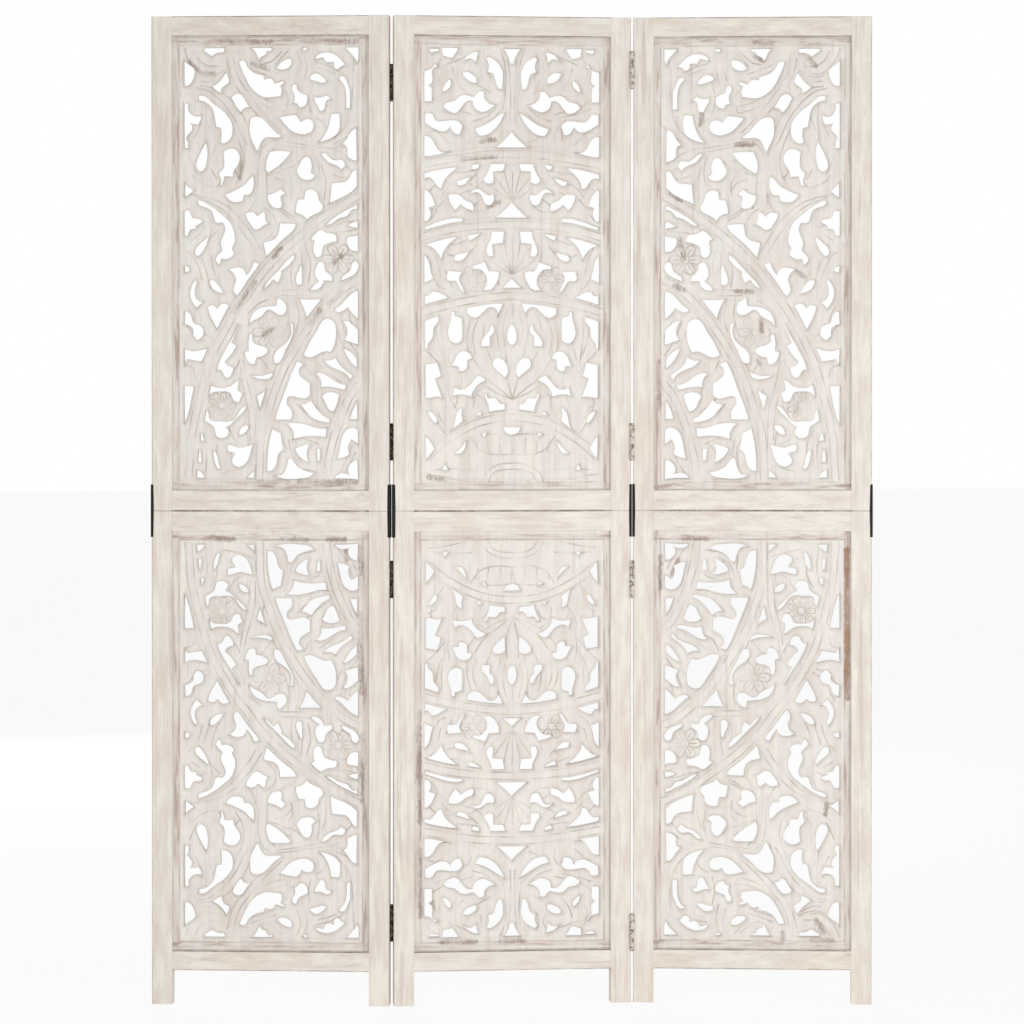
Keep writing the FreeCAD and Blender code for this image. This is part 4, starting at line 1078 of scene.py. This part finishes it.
def slotted_screw(name, sizes):
    head, shank = sizes["Head radius"], sizes["Shank radius"]
    deep, length = sizes["Head height"], sizes["Length"]
    crown_top, slot_half = -CROWN_TOP_SHARE * deep, SLOT_HALF_SHARE * head
    profile = [(-length, shank * POINT_SHARE), (-length + shank, shank), (-deep, shank), (-deep, head),
               (-CROWN_START_SHARE * deep, head), (crown_top, head * CROWN_SHARE)]
    turns = [2 * math.pi * k / SCREW_SIDES for k in range(SCREW_SIDES)]
    bm = bmesh.new()
    rings = [[bm.verts.new((x, r * math.cos(t), r * math.sin(t))) for t in turns] for x, r in profile]
    for lower, upper in zip(rings, rings[1:]):
        for k in range(SCREW_SIDES):
            bm.faces.new((lower[k], lower[k - 1], upper[k - 1], upper[k]))
    bm.faces.new(rings[0])
    bm.faces.new(reversed(rings[-1]))
    for way in (1, -1):
        geometry = list(bm.verts) + list(bm.edges) + list(bm.faces)
        bmesh.ops.bisect_plane(bm, geom=geometry, plane_co=(0, way * slot_half, 0), plane_no=(0, 1, 0))
    centres = [(f, f.calc_center_median()) for f in bm.faces]
    slot = [f for f, c in centres if c.x > -SLOT_FACE_SHARE * deep and abs(c.y) < slot_half]
    sunk = bmesh.ops.extrude_face_region(bm, geom=slot)["geom"]
    for vert in (g for g in sunk if isinstance(g, bmesh.types.BMVert)):
        vert.co.x = min(vert.co.x, crown_top) - SLOT_DEPTH_SHARE * deep
    bmesh.ops.delete(bm, geom=slot, context="FACES")
    bmesh.ops.recalc_face_normals(bm, faces=bm.faces)
    mesh = bpy.data.meshes.new(name)
    bm.to_mesh(mesh)
    bm.free()
    piece = bpy.data.objects.new(name, mesh)
    scene.collection.objects.link(piece)
    return piece


def screw_tree():
    tree = bpy.data.node_groups.new("set_screws", "GeometryNodeTree")
    for label, kind in (("Places", "Geometry"), ("Screw", "Object"), ("Seed", "Int"), ("Steel", "Material")):
        tree.interface.new_socket(label, in_out="INPUT", socket_type="NodeSocket" + kind)
    tree.interface.new_socket("Screws", in_out="OUTPUT", socket_type="NodeSocketGeometry")
    given = add_node(tree, "NodeGroupInput").outputs
    screw = add_node(tree, "GeometryNodeObjectInfo", {"Object": given["Screw"]}).outputs["Geometry"]
    facing = add_node(tree, "GeometryNodeInputNamedAttribute", {"Name": "facing"},
                      data_type="FLOAT_VECTOR").outputs[0]
    turn = add_node(tree, "FunctionNodeAlignRotationToVector", {"Vector": facing}, axis="X").outputs[0]
    angle = add_node(tree, "FunctionNodeRandomValue",
                     {"Min": (0, 0, 0), "Max": (math.pi, 0, 0), "Seed": given["Seed"]},
                     data_type="FLOAT_VECTOR").outputs[0]
    own_turn = add_node(tree, "FunctionNodeEulerToRotation", {0: angle}).outputs[0]
    turn = add_node(tree, "FunctionNodeRotateRotation", {0: turn, 1: own_turn},
                    rotation_space="LOCAL").outputs[0]
    copies = add_node(tree, "GeometryNodeInstanceOnPoints",
                      {"Points": given["Places"], "Instance": screw, "Rotation": turn}).outputs[0]
    real = add_node(tree, "GeometryNodeRealizeInstances", {0: copies}).outputs[0]
    dressed = add_node(tree, "GeometryNodeSetMaterial",
                       {"Geometry": real, "Material": given["Steel"]}).outputs[0]
    add_node(tree, "NodeGroupOutput", {0: dressed})
    return tree


setting = screw_tree()
for seed, (node_name, places) in enumerate(SCREWS.items()):
    points = new_mesh_object(node_name + "_places", [place for place, _, _ in places], [], [])
    facing = points.data.attributes.new("facing", "FLOAT_VECTOR", "POINT")
    facing.data.foreach_set("vector", np.array([f for _, f, _ in places], dtype=np.float32).ravel())
    screw = slotted_screw("screw", places[0][2])
    mesh = run_tree(points, setting, {"Screw": screw, "Seed": seed, "Steel": steel_of(node_name)})
    discard(points, screw)
    piece = set_piece(node_name + "_slotted", mesh, node_name)
    print(piece.name, "faces", len(mesh.polygons))

# %% [markdown]
# The screen stands on a plain pale floor under soft studio light.  The background is white only to the camera
# and to glossy reflections, and the floor is paler only to the camera, so neither adds light to the wood.

# %% Floor, light and background
FLOOR_SIZE, FLOOR_WHITE_SHARE, SKY_STRENGTH = 60, 0.9, 0.49


def set_stage():
    bpy.ops.mesh.primitive_plane_add(size=FLOOR_SIZE, location=(0, 0, 0))
    floor = bpy.context.object
    floor.name = "studio_floor"
    paper = bpy.data.materials.new("pale_floor")
    paper.use_nodes = True
    tree = paper.node_tree
    matt = tree.nodes["Principled BSDF"]
    matt.inputs["Base Color"].default_value = hex_colour("#f8f7f5")
    matt.inputs["Roughness"].default_value = 0.9
    glow = add_node(tree, "ShaderNodeEmission", {"Color": (1, 1, 1, 1), "Strength": 1.0})
    seen = add_node(tree, "ShaderNodeLightPath").outputs["Is Camera Ray"]
    share = math_of(tree, "MULTIPLY", seen, FLOOR_WHITE_SHARE)
    paler = add_node(tree, "ShaderNodeMixShader", {0: share, 1: matt.outputs[0], 2: glow.outputs[0]})
    tree.links.new(paler.outputs[0], tree.nodes["Material Output"].inputs["Surface"])
    floor.data.materials.append(paper)
    floor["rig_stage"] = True
    world = bpy.data.worlds.new("studio")
    scene.world = world
    world.use_nodes = True
    tree = world.node_tree
    soft = tree.nodes["Background"]
    soft.inputs["Color"].default_value = hex_colour("#fbfaf8")
    soft.inputs["Strength"].default_value = SKY_STRENGTH
    white = add_node(tree, "ShaderNodeBackground", {"Color": (1, 1, 1, 1), "Strength": 1.0})
    rays = add_node(tree, "ShaderNodeLightPath").outputs
    seen = math_of(tree, "MAXIMUM", rays["Is Camera Ray"], rays["Is Glossy Ray"])
    both = add_node(tree, "ShaderNodeMixShader", {0: seen, 1: soft.outputs[0], 2: white.outputs[0]})
    tree.links.new(both.outputs[0], tree.nodes["World Output"].inputs["Surface"])


def add_lamp(name, place, aim, size, watts):
    lamp = bpy.data.lights.new(name, "AREA")
    lamp.shape, lamp.size, lamp.energy = "DISK", size, watts
    holder = bpy.data.objects.new(name, lamp)
    holder.location = place
    holder.rotation_mode = "QUATERNION"
    holder.rotation_quaternion = (Vector(aim) - Vector(place)).to_track_quat("-Z", "Y")
    scene.collection.objects.link(holder)


set_stage()
add_lamp("key_right", (3.0, -3.6, 0.9), (0.1, 0, 0.6), 2.4, 62)
add_lamp("fill_left", (-3.2, -3.0, 1.2), (0, 0, 0.6), 2.4, 22)
add_lamp("low_front", (0.0, -2.6, 0.25), (0, 0, 0.25), 1.6, 21)
add_lamp("back_soft", (-0.8, 4.2, 1.5), (0, 0, 0.8), 2.4, 55)
scene.view_settings.view_transform = "Standard"

# %% [markdown]
# The camera stands a little to the left of the screen's middle, at chest height, and far enough back that the
# three panels keep almost the same height.

# %% Camera
CAMERA_REACH, CAMERA_HEIGHT = 5.387, 1.0135
cam = bpy.data.cameras.new("camera")
cam.lens, cam.sensor_width = 113.2, 36.0
cam.shift_y = -0.0904
holder = bpy.data.objects.new("camera", cam)
scene.collection.objects.link(holder)
side, tilt = math.radians(5.427), math.radians(0.383)
holder.location = (-CAMERA_REACH * math.sin(side), -CAMERA_REACH * math.cos(side), CAMERA_HEIGHT)
holder.rotation_mode = "QUATERNION"
view_way = Vector((math.sin(side) * math.cos(tilt), math.cos(side) * math.cos(tilt), -math.sin(tilt)))
holder.rotation_quaternion = view_way.to_track_quat("-Z", "Y")
scene.camera = holder
print("camera at", [round(c, 3) for c in holder.location])

# %% Measure and finish
shown_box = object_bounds()
for label, box in (("CAD box", cad_box), ("shown box", shown_box)):
    print(label, [round(v, 4) for corner in box for v in corner])
